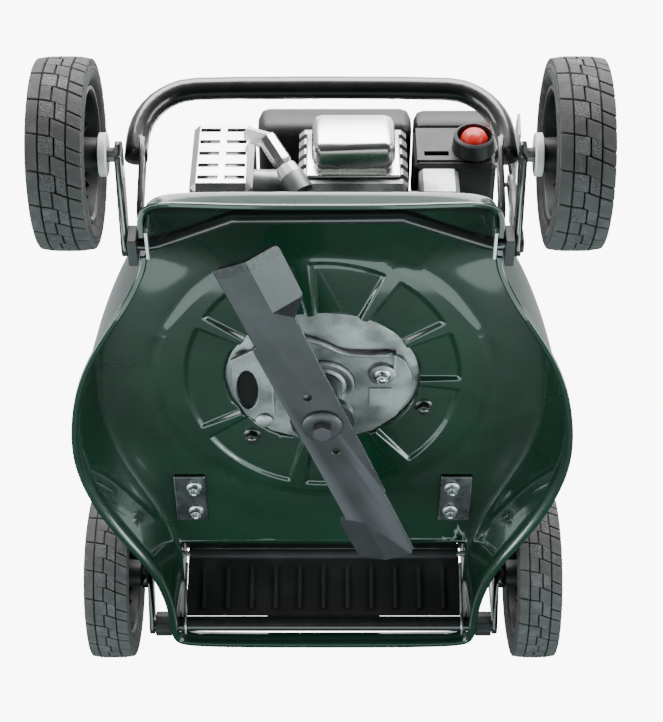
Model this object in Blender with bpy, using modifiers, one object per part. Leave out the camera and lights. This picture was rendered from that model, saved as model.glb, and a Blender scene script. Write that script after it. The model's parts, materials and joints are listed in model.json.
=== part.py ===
"""Petrol lawn mower with a pressed steel deck, modelled at its real size.

Metres, +Z up, the mower stands on its wheels at z = 0 with its nose towards -Y and its left side at +X.
A place is written as (x, forward, up), measured from the blade's axis and the ground.
"""

import math

import bmesh
import bpy
from mathutils import Matrix, Vector

# Gap kept between pieces that touch, and running clearance round a shaft
GAP = 0.0003

# Wheels
FRONT_WHEEL_RADIUS = 0.0785
REAR_WHEEL_RADIUS = 0.0885
TYRE_WIDTH = 0.047
CONTACT_FLAT = 0.001
RUBBER_DEPTH = 0.0235
TREAD_DEPTH = 0.0035
TREAD_PITCHES = 13
TREAD_SLANT = math.radians(5)
TREAD_ZIGZAG = 0.0018
HUB_RIBS = 8
HUB_BOSS_RADIUS = 0.0145
HUB_WALL = 0.0035
HUB_STEPS = 16
FRONT_AXLE_FORWARD = 0.292
REAR_AXLE_BACK = 0.267
FRONT_WHEEL_SIDE = 0.2035
REAR_WHEEL_SIDE = 0.2175
FRONT_AXLE_UP = FRONT_WHEEL_RADIUS - CONTACT_FLAT
REAR_AXLE_UP = REAR_WHEEL_RADIUS - CONTACT_FLAT

# Axle shafts, their cranked arms and the link between them
FRONT_SHAFT_FORWARD = 0.213
FRONT_SHAFT_UP = 0.060
REAR_SHAFT_BACK = 0.321
REAR_SHAFT_UP = 0.062
FRONT_SHAFT_RADIUS = 0.006
REAR_SHAFT_RADIUS = 0.008
SHAFT_BOW_FORWARD = 0.010
SHAFT_BOW_UP = 0.022
SHAFT_BOW_HALF = 0.072
ARM_THICK = 0.005
ARM_HALF_WIDTH = 0.011
STUB_RADIUS = 0.006
FRONT_ARM_SIDE = 0.160
REAR_ARM_SIDE = 0.1785
FRONT_LUG = 0.078
REAR_LUG = 0.054
LUG_THICK = 0.0036
LINK_RADIUS = 0.003
LINK_PIN_RADIUS = 0.0025
LINK_PLAY = 0.0028
COLLAR_RADIUS = 0.018
COLLAR_THICK = 0.006
REAR_COLLAR_RADIUS = 0.0155

# Deck
SHEET = 0.002
LIP = 0.004
RIM_UP = 0.047
NOSE_RIM_RISE = 0.009
ROOF_UP = 0.110
PLATFORM_UP = 0.114
PLATFORM_RADIUS = 0.150
BEAD_DEPTH = 0.0035
BEADS_PER_HALF = 4
BEAD_HALF_ANGLE = math.radians(3.5)
ENGINE_HOLE_HALF_WIDTH = 0.0925
ENGINE_HOLE_HALF_LENGTH = 0.086
ROOF_CORNER = 0.009
NOSE_DROP_START = 0.170
NOSE_DROP_LENGTH = 0.085
NOSE_DROP = 0.028
TUNNEL_START = 0.238
TUNNEL_RAMP = 0.026
TUNNEL_RISE = 0.044
TUNNEL_OUTER_HALF = 0.1506
REAR_STRIP = 0.013
TUNNEL_HALF_WIDTH = 0.1465
TUNNEL_ROOF_END = 0.290
NOSE_SIDE = 0.147

# Blade and its drive
BLADE_LENGTH = 0.418
BLADE_HALF_WIDTH = 0.0245
BLADE_THICK = 0.0035
BLADE_UP = 0.0535
BLADE_TURN = math.radians(20)
WING_LENGTH = 0.074
WING_WIDTH = 0.012
WING_LIFT = 0.012
BLADE_HOLE_PITCH = 0.038
BOLT_RADIUS = 0.005
HOLDER_RADIUS = 0.030
CRANK_RADIUS = 0.0125
FAN_VANES = 6

# Engine
FLANGE_RADIUS = 0.104
FLANGE_THICK = 0.008
SUMP_RADIUS = 0.083
SUMP_DROP = 0.005
CYLINDER_SIDE = 0.028
HEAD_UP = 0.204
BARREL_UP = 0.182
BARREL_RADIUS = 0.034
FILLER_RADIUS = 0.0105
HEAD_WIDTH = 0.098
HEAD_HEIGHT = 0.088
HEAD_BACK = 0.146
HEAD_DEPTH = 0.046
FIN_COUNT = 6
COVER_WIDTH = 0.074
COVER_HEIGHT = 0.052
COVER_DEPTH = 0.032
SHROUD_RADIUS = 0.112
SHROUD_TOP = 0.290
SHROUD_WALL = 0.003
RECOIL_RADIUS = 0.088
RECOIL_HEIGHT = 0.036
RECOIL_VENTS = 6
MUFFLER_SIDE = -0.089
MUFFLER_WIDTH = 0.056
MUFFLER_LOW = 0.150
MUFFLER_HIGH = 0.246
MUFFLER_FRONT = 0.200
FILTER_SIDE = 0.120
PRIMER_SIDE = 0.138
PRIMER_UP = 0.223
PRIMER_RADIUS = 0.019
BULB_RADIUS = 0.0125
BULB_TRAVEL = 0.006

# Bumper, brackets and handle
BUMPER_RADIUS = 0.011
BUMPER_HALF_WIDTH = 0.155
BUMPER_TOP_FORWARD = 0.282
BUMPER_TOP_UP = 0.183
BUMPER_BEND = 0.052
BUMPER_FOOT_FORWARD = 0.238
BUMPER_FOOT_UP = 0.074
HANDLE_ANGLE = math.radians(40.5)
HANDLE_TUBE = 0.011
HANDLE_STUD = 0.003
HANDLE_START_BACK = 0.180
HANDLE_START_UP = 0.137
HANDLE_START_SIDE = 0.131
HANDLE_WIDE_SIDE = 0.198
LOWER_HANDLE_LENGTH = 0.50
FOLD_FROM_END = 0.08
FOLD_AT = LOWER_HANDLE_LENGTH - FOLD_FROM_END
UPPER_HANDLE_LENGTH = 0.735
UPPER_OVERLAP = 0.025
KNOB_RADIUS = 0.021
STRAP_BACK = 0.134
STRAP_LENGTH = 0.068
BAIL_RADIUS = 0.004
BAIL_ARM = 0.115
BAIL_REST = math.radians(33)

# Rear door
DOOR_HINGE_BACK = 0.297
DOOR_HINGE_UP = 0.137
DOOR_HALF_WIDTH = 0.1437
DOOR_SKIRT_HALF_WIDTH = 0.1462
DOOR_SKIRT_TOP = 0.040
DOOR_LIP = 0.0138
DOOR_DROP = 0.0685
DOOR_THICK = 0.003
DOOR_TILT = math.radians(20)
DOOR_ROD_RADIUS = 0.003
DOOR_RIB_PITCH = 0.0255

# The whole mower is centred between the front of its tyres and the end of its handle
FOLD_BACK = HANDLE_START_BACK + FOLD_AT * math.cos(HANDLE_ANGLE)
FOLD_UP = HANDLE_START_UP + FOLD_AT * math.sin(HANDLE_ANGLE)
FRONT_REACH = FRONT_AXLE_FORWARD + FRONT_WHEEL_RADIUS
REAR_REACH = FOLD_BACK + (UPPER_HANDLE_LENGTH - UPPER_OVERLAP) * math.cos(HANDLE_ANGLE) + HANDLE_TUBE
BLADE_AXIS_Y = (FRONT_REACH - REAR_REACH) / 2

COLOURS = {
    "deck_green": ((0.010, 0.045, 0.030), 0.18, 0.0),
    "black_paint": ((0.012, 0.012, 0.014), 0.35, 0.0),
    "black_plastic": ((0.020, 0.020, 0.022), 0.50, 0.0),
    "grey_plate": ((0.55, 0.56, 0.57), 0.40, 0.0),
    "zinc": ((0.62, 0.63, 0.65), 0.30, 1.0),
    "cast_aluminium": ((0.50, 0.51, 0.52), 0.45, 1.0),
    "bright_steel": ((0.70, 0.70, 0.70), 0.22, 1.0),
    "blade_paint": ((0.050, 0.055, 0.065), 0.40, 0.3),
    "rubber": ((0.045, 0.045, 0.047), 0.75, 0.0),
    "nylon": ((0.72, 0.73, 0.72), 0.40, 0.0),
    "white_ceramic": ((0.85, 0.85, 0.82), 0.25, 0.0),
    "red_rubber": ((0.55, 0.03, 0.02), 0.40, 0.0),
}


def spot(x, forward, up):
    """World position of a place given from the blade's axis and the ground."""
    return Vector((x, BLADE_AXIS_Y - forward, up))


def smooth(value):
    """Ease from 0 to 1 without a corner at either end."""
    value = min(max(value, 0.0), 1.0)
    return value * value * (3 - 2 * value)


def finish(name):
    """The material of that name, made once."""
    found = bpy.data.materials.get(name)
    if found:
        return found
    colour, roughness, metallic = COLOURS[name]
    found = bpy.data.materials.new(name)
    found.use_nodes = True
    shader = found.node_tree.nodes["Principled BSDF"]
    shader.inputs["Base Color"].default_value = (*colour, 1.0)
    shader.inputs["Roughness"].default_value = roughness
    shader.inputs["Metallic"].default_value = metallic
    return found


def clear_scene():
    for obj in list(bpy.data.objects):
        bpy.data.objects.remove(obj, do_unlink=True)


def collection(name):
    found = bpy.data.collections.get(name)
    if not found:
        found = bpy.data.collections.new(name)
        bpy.context.scene.collection.children.link(found)
    return found


def add(name, data, look=None):
    """A new object of the mower, with its own material."""
    obj = bpy.data.objects.new(name, data)
    collection("lawn_mower").objects.link(obj)
    if look:
        data.materials.append(finish(look))
    return obj


def as_tool(obj):
    """Turn a piece into a hidden cutter or filler for another piece."""
    collection("lawn_mower").objects.unlink(obj)
    collection("cutters").objects.link(obj)
    obj.hide_render = True
    obj.display_type = "WIRE"
    return obj


def combine(obj, tools, operation):
    for tool in tools:
        change = obj.modifiers.new(operation.lower(), "BOOLEAN")
        change.operation = operation
        change.solver = "EXACT"
        change.object = as_tool(tool)
    return obj


def cut(obj, *tools):
    return combine(obj, tools, "DIFFERENCE")


def fuse(obj, *tools):
    return combine(obj, tools, "UNION")


def settle(obj):
    """Replace a curve or a mesh with modifiers by its finished, welded mesh."""
    bpy.context.view_layer.update()
    evaluated = obj.evaluated_get(bpy.context.evaluated_depsgraph_get())
    mesh = bpy.data.meshes.new_from_object(evaluated)
    work = bmesh.new()
    work.from_mesh(mesh)
    bmesh.ops.remove_doubles(work, verts=work.verts, dist=1e-5)
    work.to_mesh(mesh)
    work.free()
    name = obj.name
    placed = obj.matrix_world.copy()
    bpy.data.objects.remove(obj)
    result = bpy.data.objects.new(name, mesh)
    collection("lawn_mower").objects.link(result)
    result.matrix_world = placed
    return result


def place(obj, at, towards=(0, 0, 1)):
    """Set an object's origin at a world position with its Z along a direction."""
    turn = Vector(towards).to_track_quat("Z", "Y")
    obj.location = at
    obj.rotation_euler = turn.to_euler()
    return obj


def soften(obj, width, segments=2):
    """Round the sharp edges."""
    bevel = obj.modifiers.new("edges", "BEVEL")
    bevel.width = width
    bevel.segments = segments
    bevel.limit_method = "ANGLE"
    return obj


def block(name, low, high, look=None, round_edges=0.0, segments=2):
    """A box between two corners given as (x, forward, up)."""
    first = spot(*low)
    second = spot(*high)
    size = [abs(b - a) for a, b in zip(first, second)]
    mesh = bpy.data.meshes.new(name)
    work = bmesh.new()
    bmesh.ops.create_cube(work, size=1.0, matrix=Matrix.Diagonal((*size, 1.0)))
    work.to_mesh(mesh)
    work.free()
    obj = add(name, mesh, look)
    obj.location = (first + second) / 2
    if round_edges:
        soften(obj, round_edges, segments)
    return obj


def drum(name, at, towards, radius, length, look=None, end_radius=None, sides=16):
    """A cylinder or cone that starts at a place and runs along a direction."""
    mesh = bpy.data.meshes.new(name)
    work = bmesh.new()
    bmesh.ops.create_cone(
        work,
        cap_ends=True,
        segments=sides,
        radius1=radius,
        radius2=radius if end_radius is None else end_radius,
        depth=length,
        matrix=Matrix.Translation((0, 0, length / 2)),
    )
    work.to_mesh(mesh)
    work.free()
    return place(add(name, mesh, look), at, towards)


def turned(name, profile, steps, at, towards, look=None):
    """A revolved piece from (radius, height) pairs that run down its outer side; a bore closes the profile."""
    mesh = bpy.data.meshes.new(name)
    points = [(radius, 0, height) for radius, height in profile]
    edges = [(i, i + 1) for i in range(len(points) - 1)]
    if profile[0][0] > 0 and profile[-1][0] > 0:
        edges.append((len(points) - 1, 0))
    mesh.from_pydata(points, edges, [])
    obj = add(name, mesh, look)
    screw = obj.modifiers.new("turn", "SCREW")
    screw.steps = steps
    screw.render_steps = steps
    screw.use_merge_vertices = True
    screw.merge_threshold = 0.00001
    return place(obj, at, towards)


def bent(points, bend, steps=4):
    """A path of straight runs joined by round bends of one radius."""
    path = [points[0]]
    for before, corner, after in zip(points, points[1:], points[2:]):
        back = (before - corner).normalized()
        on = (after - corner).normalized()
        angle = back.angle(on)
        run = bend / math.tan(angle / 2)
        centre = corner + (back + on).normalized() * (bend / math.sin(angle / 2))
        start = (corner + back * run - centre).normalized()
        end = (corner + on * run - centre).normalized()
        for i in range(steps + 1):
            path.append(centre + start.slerp(end, i / steps) * bend)
    path.append(points[-1])
    return path


def tube(name, path, radius, look=None, resolution=2):
    """A round bar or wire along a path of world positions."""
    curve = bpy.data.curves.new(name, "CURVE")
    curve.dimensions = "3D"
    curve.bevel_depth = radius
    curve.bevel_resolution = resolution
    curve.use_fill_caps = True
    curve.render_resolution_u = 0
    spline = curve.splines.new("POLY")
    spline.points.add(len(path) - 1)
    for point, position in zip(spline.points, path):
        point.co = (*position, 1.0)
    return add(name, curve, look)


def circle(centre, radius, sides=12, start=0.0, sweep=2 * math.pi):
    """Points of a circle or of an arc, first and last included on an arc."""
    last = sides if sweep >= 2 * math.pi else sides - 1
    angles = [start + sweep * i / last for i in range(sides)]
    return [(centre[0] + radius * math.cos(a), centre[1] + radius * math.sin(a)) for a in angles]


def capsule(first, second, radius, sides=6):
    """Outline of a flat bar with round ends between two centres."""
    along = math.atan2(second[1] - first[1], second[0] - first[0])
    near = circle(first, radius, sides, along + math.pi / 2, math.pi)
    far = circle(second, radius, sides, along - math.pi / 2, math.pi)
    return near + far


def flat(name, outlines, thick, look=None):
    """A flat plate cut to outlines, centred on its own XY plane; later outlines are holes."""
    curve = bpy.data.curves.new(name, "CURVE")
    curve.dimensions = "2D"
    curve.fill_mode = "BOTH"
    curve.extrude = thick / 2
    curve.render_resolution_u = 0
    for outline in outlines:
        spline = curve.splines.new("POLY")
        spline.points.add(len(outline) - 1)
        spline.use_cyclic_u = True
        for point, (x, y) in zip(spline.points, outline):
            point.co = (x, y, 0, 1)
    return add(name, curve, look)


def side_plate(name, outlines, side, thick, look=None):
    """An upright plate across the mower at one side; its outlines are (forward, up) pairs."""
    obj = flat(name, outlines, thick, look)
    obj.matrix_world = Matrix(((0, 0, -1, side), (-1, 0, 0, BLADE_AXIS_Y), (0, 1, 0, 0), (0, 0, 0, 1)))
    return settle(obj)


def level_plate(name, outlines, up, thick, look=None):
    """A level plate; its outlines are (x, forward) pairs."""
    obj = flat(name, outlines, thick, look)
    obj.matrix_world = Matrix(((1, 0, 0, 0), (0, -1, 0, BLADE_AXIS_Y), (0, 0, -1, up), (0, 0, 0, 1)))
    return settle(obj)


def axis_empty(name, at):
    """An empty on a joint's axis that carries what moves with it."""
    empty = bpy.data.objects.new(name, None)
    collection("lawn_mower").objects.link(empty)
    empty.location = at
    empty.empty_display_size = 0.03
    return empty


def hang(empty, *pieces):
    """Parent pieces to an empty without moving them."""
    bpy.context.view_layer.update()
    for piece in pieces:
        placed = piece.matrix_world.copy()
        piece.parent = empty
        piece.matrix_parent_inverse = empty.matrix_world.inverted()
        piece.matrix_world = placed


def sides():
    """The mower's two sides as (name, sign)."""
    return (("left", 1), ("right", -1))


def spline_outline(points, rounded):
    """A half outline through its points; the numbered spans get a smooth middle point."""
    path = []
    for i in range(len(points) - 1):
        before = points[max(i - 1, 0)]
        after = points[min(i + 2, len(points) - 1)]
        steps = 2 if i in rounded else 1
        for step in range(steps):
            t = step / steps
            path.append(
                tuple(
                    0.5
                    * (
                        2 * b
                        + (c - a) * t
                        + (2 * a - 5 * b + 4 * c - d) * t * t
                        + (3 * b - a - 3 * c + d) * t * t * t
                    )
                    for a, b, c, d in zip(before, points[i], points[i + 1], after)
                )
            )
    path.append(points[-1])
    return path


def grown(outline, distance):
    """A half outline moved outwards; its two ends stay on the middle plane."""
    result = []
    for i, (x, forward) in enumerate(outline):
        before = Vector(outline[max(i - 1, 0)])
        after = Vector(outline[min(i + 1, len(outline) - 1)])
        along = (after - before).normalized()
        if i == 0 or i == len(outline) - 1:
            along = Vector((1 if i == 0 else -1, 0))
        result.append((x - along.y * distance, forward + along.x * distance))
    return result


ROUNDED_SPANS = (2, 5, 6, 16, 17)

SKIRT_POINTS = [
    (0.0, 0.262),
    (0.070, 0.262),
    (0.125, 0.2615),
    (NOSE_SIDE, 0.247),
    (NOSE_SIDE, 0.226),
    (NOSE_SIDE, 0.196),
    (0.156, 0.171),
    (0.180, 0.129),
    (0.205, 0.085),
    (0.220, 0.039),
    (0.228, -0.010),
    (0.229, -0.055),
    (0.217, -0.110),
    (0.1945, -0.162),
    (0.1705, -0.207),
    (0.158, -0.257),
    (0.1555, -0.300),
    (0.1545, -0.322),
    (0.140, -0.3355),
    (0.060, -0.337),
    (0.0, -0.337),
]

BODY_POINTS = [
    (0.0, 0.256),
    (0.070, 0.256),
    (0.125, 0.2555),
    (NOSE_SIDE, 0.241),
    (NOSE_SIDE, 0.226),
    (NOSE_SIDE, 0.200),
    (0.163, 0.178),
    (0.184, 0.134),
    (0.201, 0.088),
    (0.212, 0.040),
    (0.216, -0.008),
    (0.215, -0.052),
    (0.206, -0.100),
    (0.187, -0.150),
    (0.167, -0.198),
    (0.156, -0.245),
    (0.153, -0.290),
    (0.152, -0.314),
    (0.137, -0.3285),
    (0.060, -0.330),
    (0.0, -0.330),
]


def roof_up(forward):
    """Height of the deck's roof, which drops towards the nose."""
    return ROOF_UP - NOSE_DROP * smooth((forward - NOSE_DROP_START) / NOSE_DROP_LENGTH)


def rim_up(x, forward):
    """Height of the rim, lifted at the two corners of the nose."""
    return RIM_UP + NOSE_RIM_RISE * smooth((abs(x) - 0.118) / 0.014) * smooth((forward - 0.150) / 0.030)


def deck_sections():
    """Half sections of the deck's outer face, from the engine hole out to the lip."""
    skirt = spline_outline(SKIRT_POINTS, ROUNDED_SPANS)
    body = spline_outline(BODY_POINTS, ROUNDED_SPANS)
    last = len(body) - 1
    angles = [(math.pi * i / last + math.atan2(*point)) / 2 for i, point in enumerate(body)]
    beads = set()
    for bead in range(BEADS_PER_HALF):
        centre = math.pi * (bead + 0.5) / BEADS_PER_HALF
        nearest = min(range(1, last), key=lambda i: abs(angles[i] - centre))
        beads.add(nearest)
        for i in (-1, 0, 1):
            angles[nearest + i] = centre + i * BEAD_HALF_ANGLE

    def ring(half_width, half_length, up, beaded=False):
        return [
            (
                half_width * math.sin(a),
                half_length * math.cos(a),
                up - (BEAD_DEPTH if beaded and i in beads else 0),
            )
            for i, a in enumerate(angles)
        ]

    def over_roof(outline, drop):
        return [(x, f, roof_up(f) - drop) for x, f in outline]

    platform = PLATFORM_RADIUS
    shoulder = ring(platform + 0.008, platform + 0.008, ROOF_UP)
    corner = over_roof(grown(body, -ROOF_CORNER), 0)
    between = [((a[0] + b[0]) / 2, (a[1] + b[1]) / 2) for a, b in zip(shoulder, corner)]
    wall_top = over_roof(body, ROOF_CORNER)
    foot = [(x, f, rim_up(x, f)) for x, f in skirt]
    return [
        ring(ENGINE_HOLE_HALF_WIDTH, ENGINE_HOLE_HALF_LENGTH, PLATFORM_UP),
        ring(platform * 0.70, platform * 0.68, PLATFORM_UP, True),
        ring(platform, platform, PLATFORM_UP, True),
        shoulder,
        over_roof(between, 0),
        corner,
        over_roof(grown(body, -ROOF_CORNER * 0.3), ROOF_CORNER * 0.3),
        wall_top,
        foot,
        [(x, f, rim_up(x, f)) for x, f in grown(skirt, LIP)],
    ]


def loft(name, sections, look):
    """An open skin through sections of equal point counts."""
    work = bmesh.new()
    rows = [[work.verts.new(spot(*point)) for point in section] for section in sections]
    for inner, outer in zip(rows, rows[1:]):
        for i in range(len(inner) - 1):
            work.faces.new((inner[i], outer[i], outer[i + 1], inner[i + 1]))
    mesh = bpy.data.meshes.new(name)
    work.to_mesh(mesh)
    work.free()
    return add(name, mesh, look)


def tunnel_form(name, inset, low, back):
    """The raised tunnel over the rear door: a ramp, then a flat roof, drawn from the side."""
    top = ROOF_UP + TUNNEL_RISE - inset
    start = -TUNNEL_START - inset
    outline = [
        (start, low),
        (start, ROOF_UP - inset),
        (start - TUNNEL_RAMP + 0.004, top - 0.008),
        (start - TUNNEL_RAMP - 0.004, top),
        (back, top),
        (back, low),
    ]
    form = side_plate(name, [outline], 0, 2 * (TUNNEL_OUTER_HALF - inset))
    return form if inset else soften(form, 0.0025, 1)


def make_deck():
    deck = loft("deck", deck_sections(), "deck_green")
    mirror = deck.modifiers.new("other half", "MIRROR")
    mirror.merge_threshold = 0.0001
    shell = deck.modifiers.new("sheet", "SOLIDIFY")
    shell.thickness = SHEET
    shell.offset = -1
    reach = REAR_SHAFT_BACK + 0.1
    for name, sign in sides():
        notch = block(
            f"shaft_notch_{name}",
            (sign * (NOSE_SIDE - 0.02), FRONT_SHAFT_FORWARD - FRONT_SHAFT_RADIUS - 0.004, RIM_UP - 0.01),
            (sign * (NOSE_SIDE + 0.02), FRONT_SHAFT_FORWARD + FRONT_SHAFT_RADIUS + 0.004, FRONT_SHAFT_UP + 0.0105),
        )
        cut(deck, notch)
    ear = 2 * TUNNEL_HALF_WIDTH + 0.04
    start = TUNNEL_HALF_WIDTH + 0.02
    shaft_hole = drum(
        "rear_shaft_hole",
        spot(-start, -REAR_SHAFT_BACK, REAR_SHAFT_UP),
        (1, 0, 0),
        REAR_SHAFT_RADIUS + 0.0006,
        ear,
    )
    rod_hole = drum(
        "door_rod_hole",
        spot(-start, -DOOR_HINGE_BACK, DOOR_HINGE_UP),
        (1, 0, 0),
        DOOR_ROD_RADIUS + 0.0004,
        ear,
        sides=12,
    )
    cut(deck, shaft_hole)
    fuse(deck, tunnel_form("tunnel_hood", 0.0, ROOF_UP - 0.0045, BODY_POINTS[18][1] + 0.004))
    opening = block(
        "tunnel_opening",
        (-TUNNEL_HALF_WIDTH, -TUNNEL_ROOF_END, RIM_UP + REAR_STRIP),
        (TUNNEL_HALF_WIDTH, -reach, ROOF_UP + TUNNEL_RISE + 0.02),
    )
    cut(deck, opening, tunnel_form("tunnel_inside", SHEET, ROOF_UP - 0.0062, -reach + 0.02))
    cut(deck, rod_hole)
    top = ROOF_UP + TUNNEL_RISE + 0.01
    slope = side_plate(
        "ear_slope",
        [[(-TUNNEL_ROOF_END - 0.012, top), (-reach, top), (-reach, 0.083), (-REAR_SHAFT_BACK - 0.0125, 0.083)]],
        0,
        0.4,
    )
    cut(deck, slope)
    return deck


def make_bumper():
    """One tube, bent twice, with a flattened foot at each side of the nose."""
    lean = Vector((0, BUMPER_FOOT_FORWARD - BUMPER_TOP_FORWARD, BUMPER_TOP_UP - BUMPER_FOOT_UP)).normalized()
    foot_length = 0.0475
    bar_height = (BUMPER_TOP_UP - BUMPER_FOOT_UP) / lean.z
    starts = []
    for sign in (1, -1):
        starts.append(spot(sign * BUMPER_HALF_WIDTH, BUMPER_FOOT_FORWARD, BUMPER_FOOT_UP) + lean * foot_length)
    corners = [start + lean * (bar_height - foot_length) for start in starts]
    path = bent([starts[0], corners[0], corners[1], starts[1]], BUMPER_BEND, 5)
    bumper = settle(tube("front_bumper", path, BUMPER_RADIUS, "black_paint", 2))
    feet = []
    for name, sign in sides():
        joint = (BUMPER_FOOT_FORWARD - lean.y * (foot_length + 0.01), BUMPER_FOOT_UP + lean.z * (foot_length + 0.01))
        outline = capsule((BUMPER_FOOT_FORWARD, BUMPER_FOOT_UP), joint, BUMPER_RADIUS)
        thick = 0.004
        feet.append(side_plate(f"bumper_foot_{name}", [outline], sign * (NOSE_SIDE + GAP + thick / 2), thick))
    return fuse(bumper, *feet)


def make_front_bearings():
    """Zinc plates inside the nose and black blocks outside it, both bored for the shaft."""
    bore = circle((FRONT_SHAFT_FORWARD, FRONT_SHAFT_UP), FRONT_SHAFT_RADIUS + 0.0005)
    for name, sign in sides():
        thick = 0.0025
        back = 0.2025
        front = 0.2365
        low = RIM_UP + 0.0015
        high = low + 0.024
        corner = 0.003
        outline = [
            (back, low + corner),
            (back + corner, low),
            (front - corner, low),
            (front, low + corner),
            (front, high - corner),
            (front - corner, high),
            (back + corner, high),
            (back, high - corner),
        ]
        inside = NOSE_SIDE - SHEET - GAP - thick / 2
        side_plate(f"bearing_plate_{name}", [outline, bore], sign * inside, thick, "zinc")
        hull = [
            (FRONT_SHAFT_FORWARD - 0.014, 0.047),
            (FRONT_SHAFT_FORWARD + 0.013, 0.047),
            (FRONT_SHAFT_FORWARD + 0.013, 0.068),
            (FRONT_SHAFT_FORWARD + 0.008, 0.073),
            (FRONT_SHAFT_FORWARD - 0.009, 0.073),
            (FRONT_SHAFT_FORWARD - 0.014, 0.068),
        ]
        low = NOSE_SIDE + LIP + GAP * 2
        middle = sign * (low + FRONT_ARM_SIDE) / 2
        width = FRONT_ARM_SIDE - low - 2 * GAP
        side_plate(f"front_bearing_{name}", [hull, bore], middle, width, "black_plastic")


def make_rear_bearings():
    bore = circle((-REAR_SHAFT_BACK, REAR_SHAFT_UP), REAR_SHAFT_RADIUS + 0.0005)
    for name, sign in sides():
        low = SKIRT_POINTS[16][0] + LIP + 0.001
        high = REAR_ARM_SIDE - 0.0015
        hull = circle((-REAR_SHAFT_BACK, REAR_SHAFT_UP), 0.0135, 10)
        side_plate(f"rear_bearing_{name}", [hull, bore], sign * (low + high) / 2, high - low, "black_plastic")


def arm_plate(name, shaft, stub, side):
    return side_plate(name, [capsule(shaft, stub, ARM_HALF_WIDTH)], side + ARM_THICK / 2, ARM_THICK)


def lug_plate(name, shaft, length, side, play):
    """A lug that rises from the shaft and is drilled at its tip for the link's pin."""
    tip = (shaft[0], shaft[1] + length)
    hole = circle(tip, LINK_PIN_RADIUS + play, 10)
    return side_plate(name, [capsule(shaft, tip, 0.0085), hole], side + ARM_THICK / 2, LUG_THICK)


def stub(name, sign, start, end, forward, up):
    """A wheel's stub with the nut at its outer end."""
    profile = [
        (0.0, end + 0.0075),
        (0.0095, end + 0.0065),
        (0.0095, end + GAP),
        (STUB_RADIUS, end + GAP),
        (STUB_RADIUS, start),
        (0.0, start),
    ]
    return turned(name, profile, 10, spot(0, forward, up), (sign, 0, 0))


def hub_outer_face(side):
    return side + TYRE_WIDTH * 0.34


def make_front_axle():
    shaft = (FRONT_SHAFT_FORWARD, FRONT_SHAFT_UP)
    wheel = (FRONT_AXLE_FORWARD, FRONT_AXLE_UP)
    end = FRONT_ARM_SIDE + ARM_THICK / 2
    straight = NOSE_SIDE - 0.008
    path = [
        spot(-end, *shaft),
        spot(-straight, *shaft),
        spot(-SHAFT_BOW_HALF, shaft[0] + SHAFT_BOW_FORWARD, shaft[1] + SHAFT_BOW_UP),
        spot(SHAFT_BOW_HALF, shaft[0] + SHAFT_BOW_FORWARD, shaft[1] + SHAFT_BOW_UP),
        spot(straight, *shaft),
        spot(end, *shaft),
    ]
    axle = settle(tube("front_axle", bent(path, 0.020, 1), FRONT_SHAFT_RADIUS, "black_paint"))
    tools = []
    for name, sign in sides():
        side = FRONT_ARM_SIDE if sign > 0 else -FRONT_ARM_SIDE - ARM_THICK
        tools.append(arm_plate(f"front_arm_{name}", shaft, wheel, side))
        outer = hub_outer_face(FRONT_WHEEL_SIDE)
        tools.append(stub(f"front_stub_{name}", sign, FRONT_ARM_SIDE + 0.001, outer, *wheel))
    tools.append(lug_plate("front_lug", shaft, FRONT_LUG, FRONT_ARM_SIDE, GAP))
    return fuse(axle, *tools)


def make_rear_axle():
    shaft = (-REAR_SHAFT_BACK, REAR_SHAFT_UP)
    wheel = (-REAR_AXLE_BACK, REAR_AXLE_UP)
    end = REAR_ARM_SIDE + ARM_THICK / 2
    axle = drum("rear_axle", spot(-end, *shaft), (1, 0, 0), REAR_SHAFT_RADIUS, 2 * end, "black_paint", sides=12)
    tools = []
    for name, sign in sides():
        side = REAR_ARM_SIDE if sign > 0 else -REAR_ARM_SIDE - ARM_THICK
        tools.append(arm_plate(f"rear_arm_{name}", shaft, wheel, side))
        outer = hub_outer_face(REAR_WHEEL_SIDE)
        tools.append(stub(f"rear_stub_{name}", sign, REAR_ARM_SIDE + 0.001, outer, *wheel))
        inner = REAR_WHEEL_SIDE - hub_inner_reach(REAR_WHEEL_SIDE, REAR_ARM_SIDE)
        thick = inner - REAR_ARM_SIDE - ARM_THICK - GAP + 0.001
        start = spot(sign * (REAR_ARM_SIDE + ARM_THICK - 0.001), *wheel)
        tools.append(drum(f"rear_collar_{name}", start, (sign, 0, 0), REAR_COLLAR_RADIUS, thick, sides=14))
    tools.append(lug_plate("rear_lug", shaft, REAR_LUG, REAR_ARM_SIDE, LINK_PLAY))
    return fuse(axle, *tools)


def make_link():
    """A rod from the front lug to the rear lug, its two pins turned outwards into the lugs' holes."""
    front = spot(FRONT_ARM_SIDE - 0.0045, FRONT_SHAFT_FORWARD, FRONT_SHAFT_UP + FRONT_LUG)
    rear = spot(REAR_ARM_SIDE - 0.0045, -REAR_SHAFT_BACK, REAR_SHAFT_UP + REAR_LUG)
    rod = settle(tube("link_rod", [front, rear], LINK_RADIUS, "zinc", 2))
    pins = []
    for name, start in (("front", front), ("rear", rear)):
        pins.append(drum(f"link_pin_{name}", start, (1, 0, 0), LINK_PIN_RADIUS, 0.0086, sides=8))
    return fuse(rod, *pins)


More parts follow.
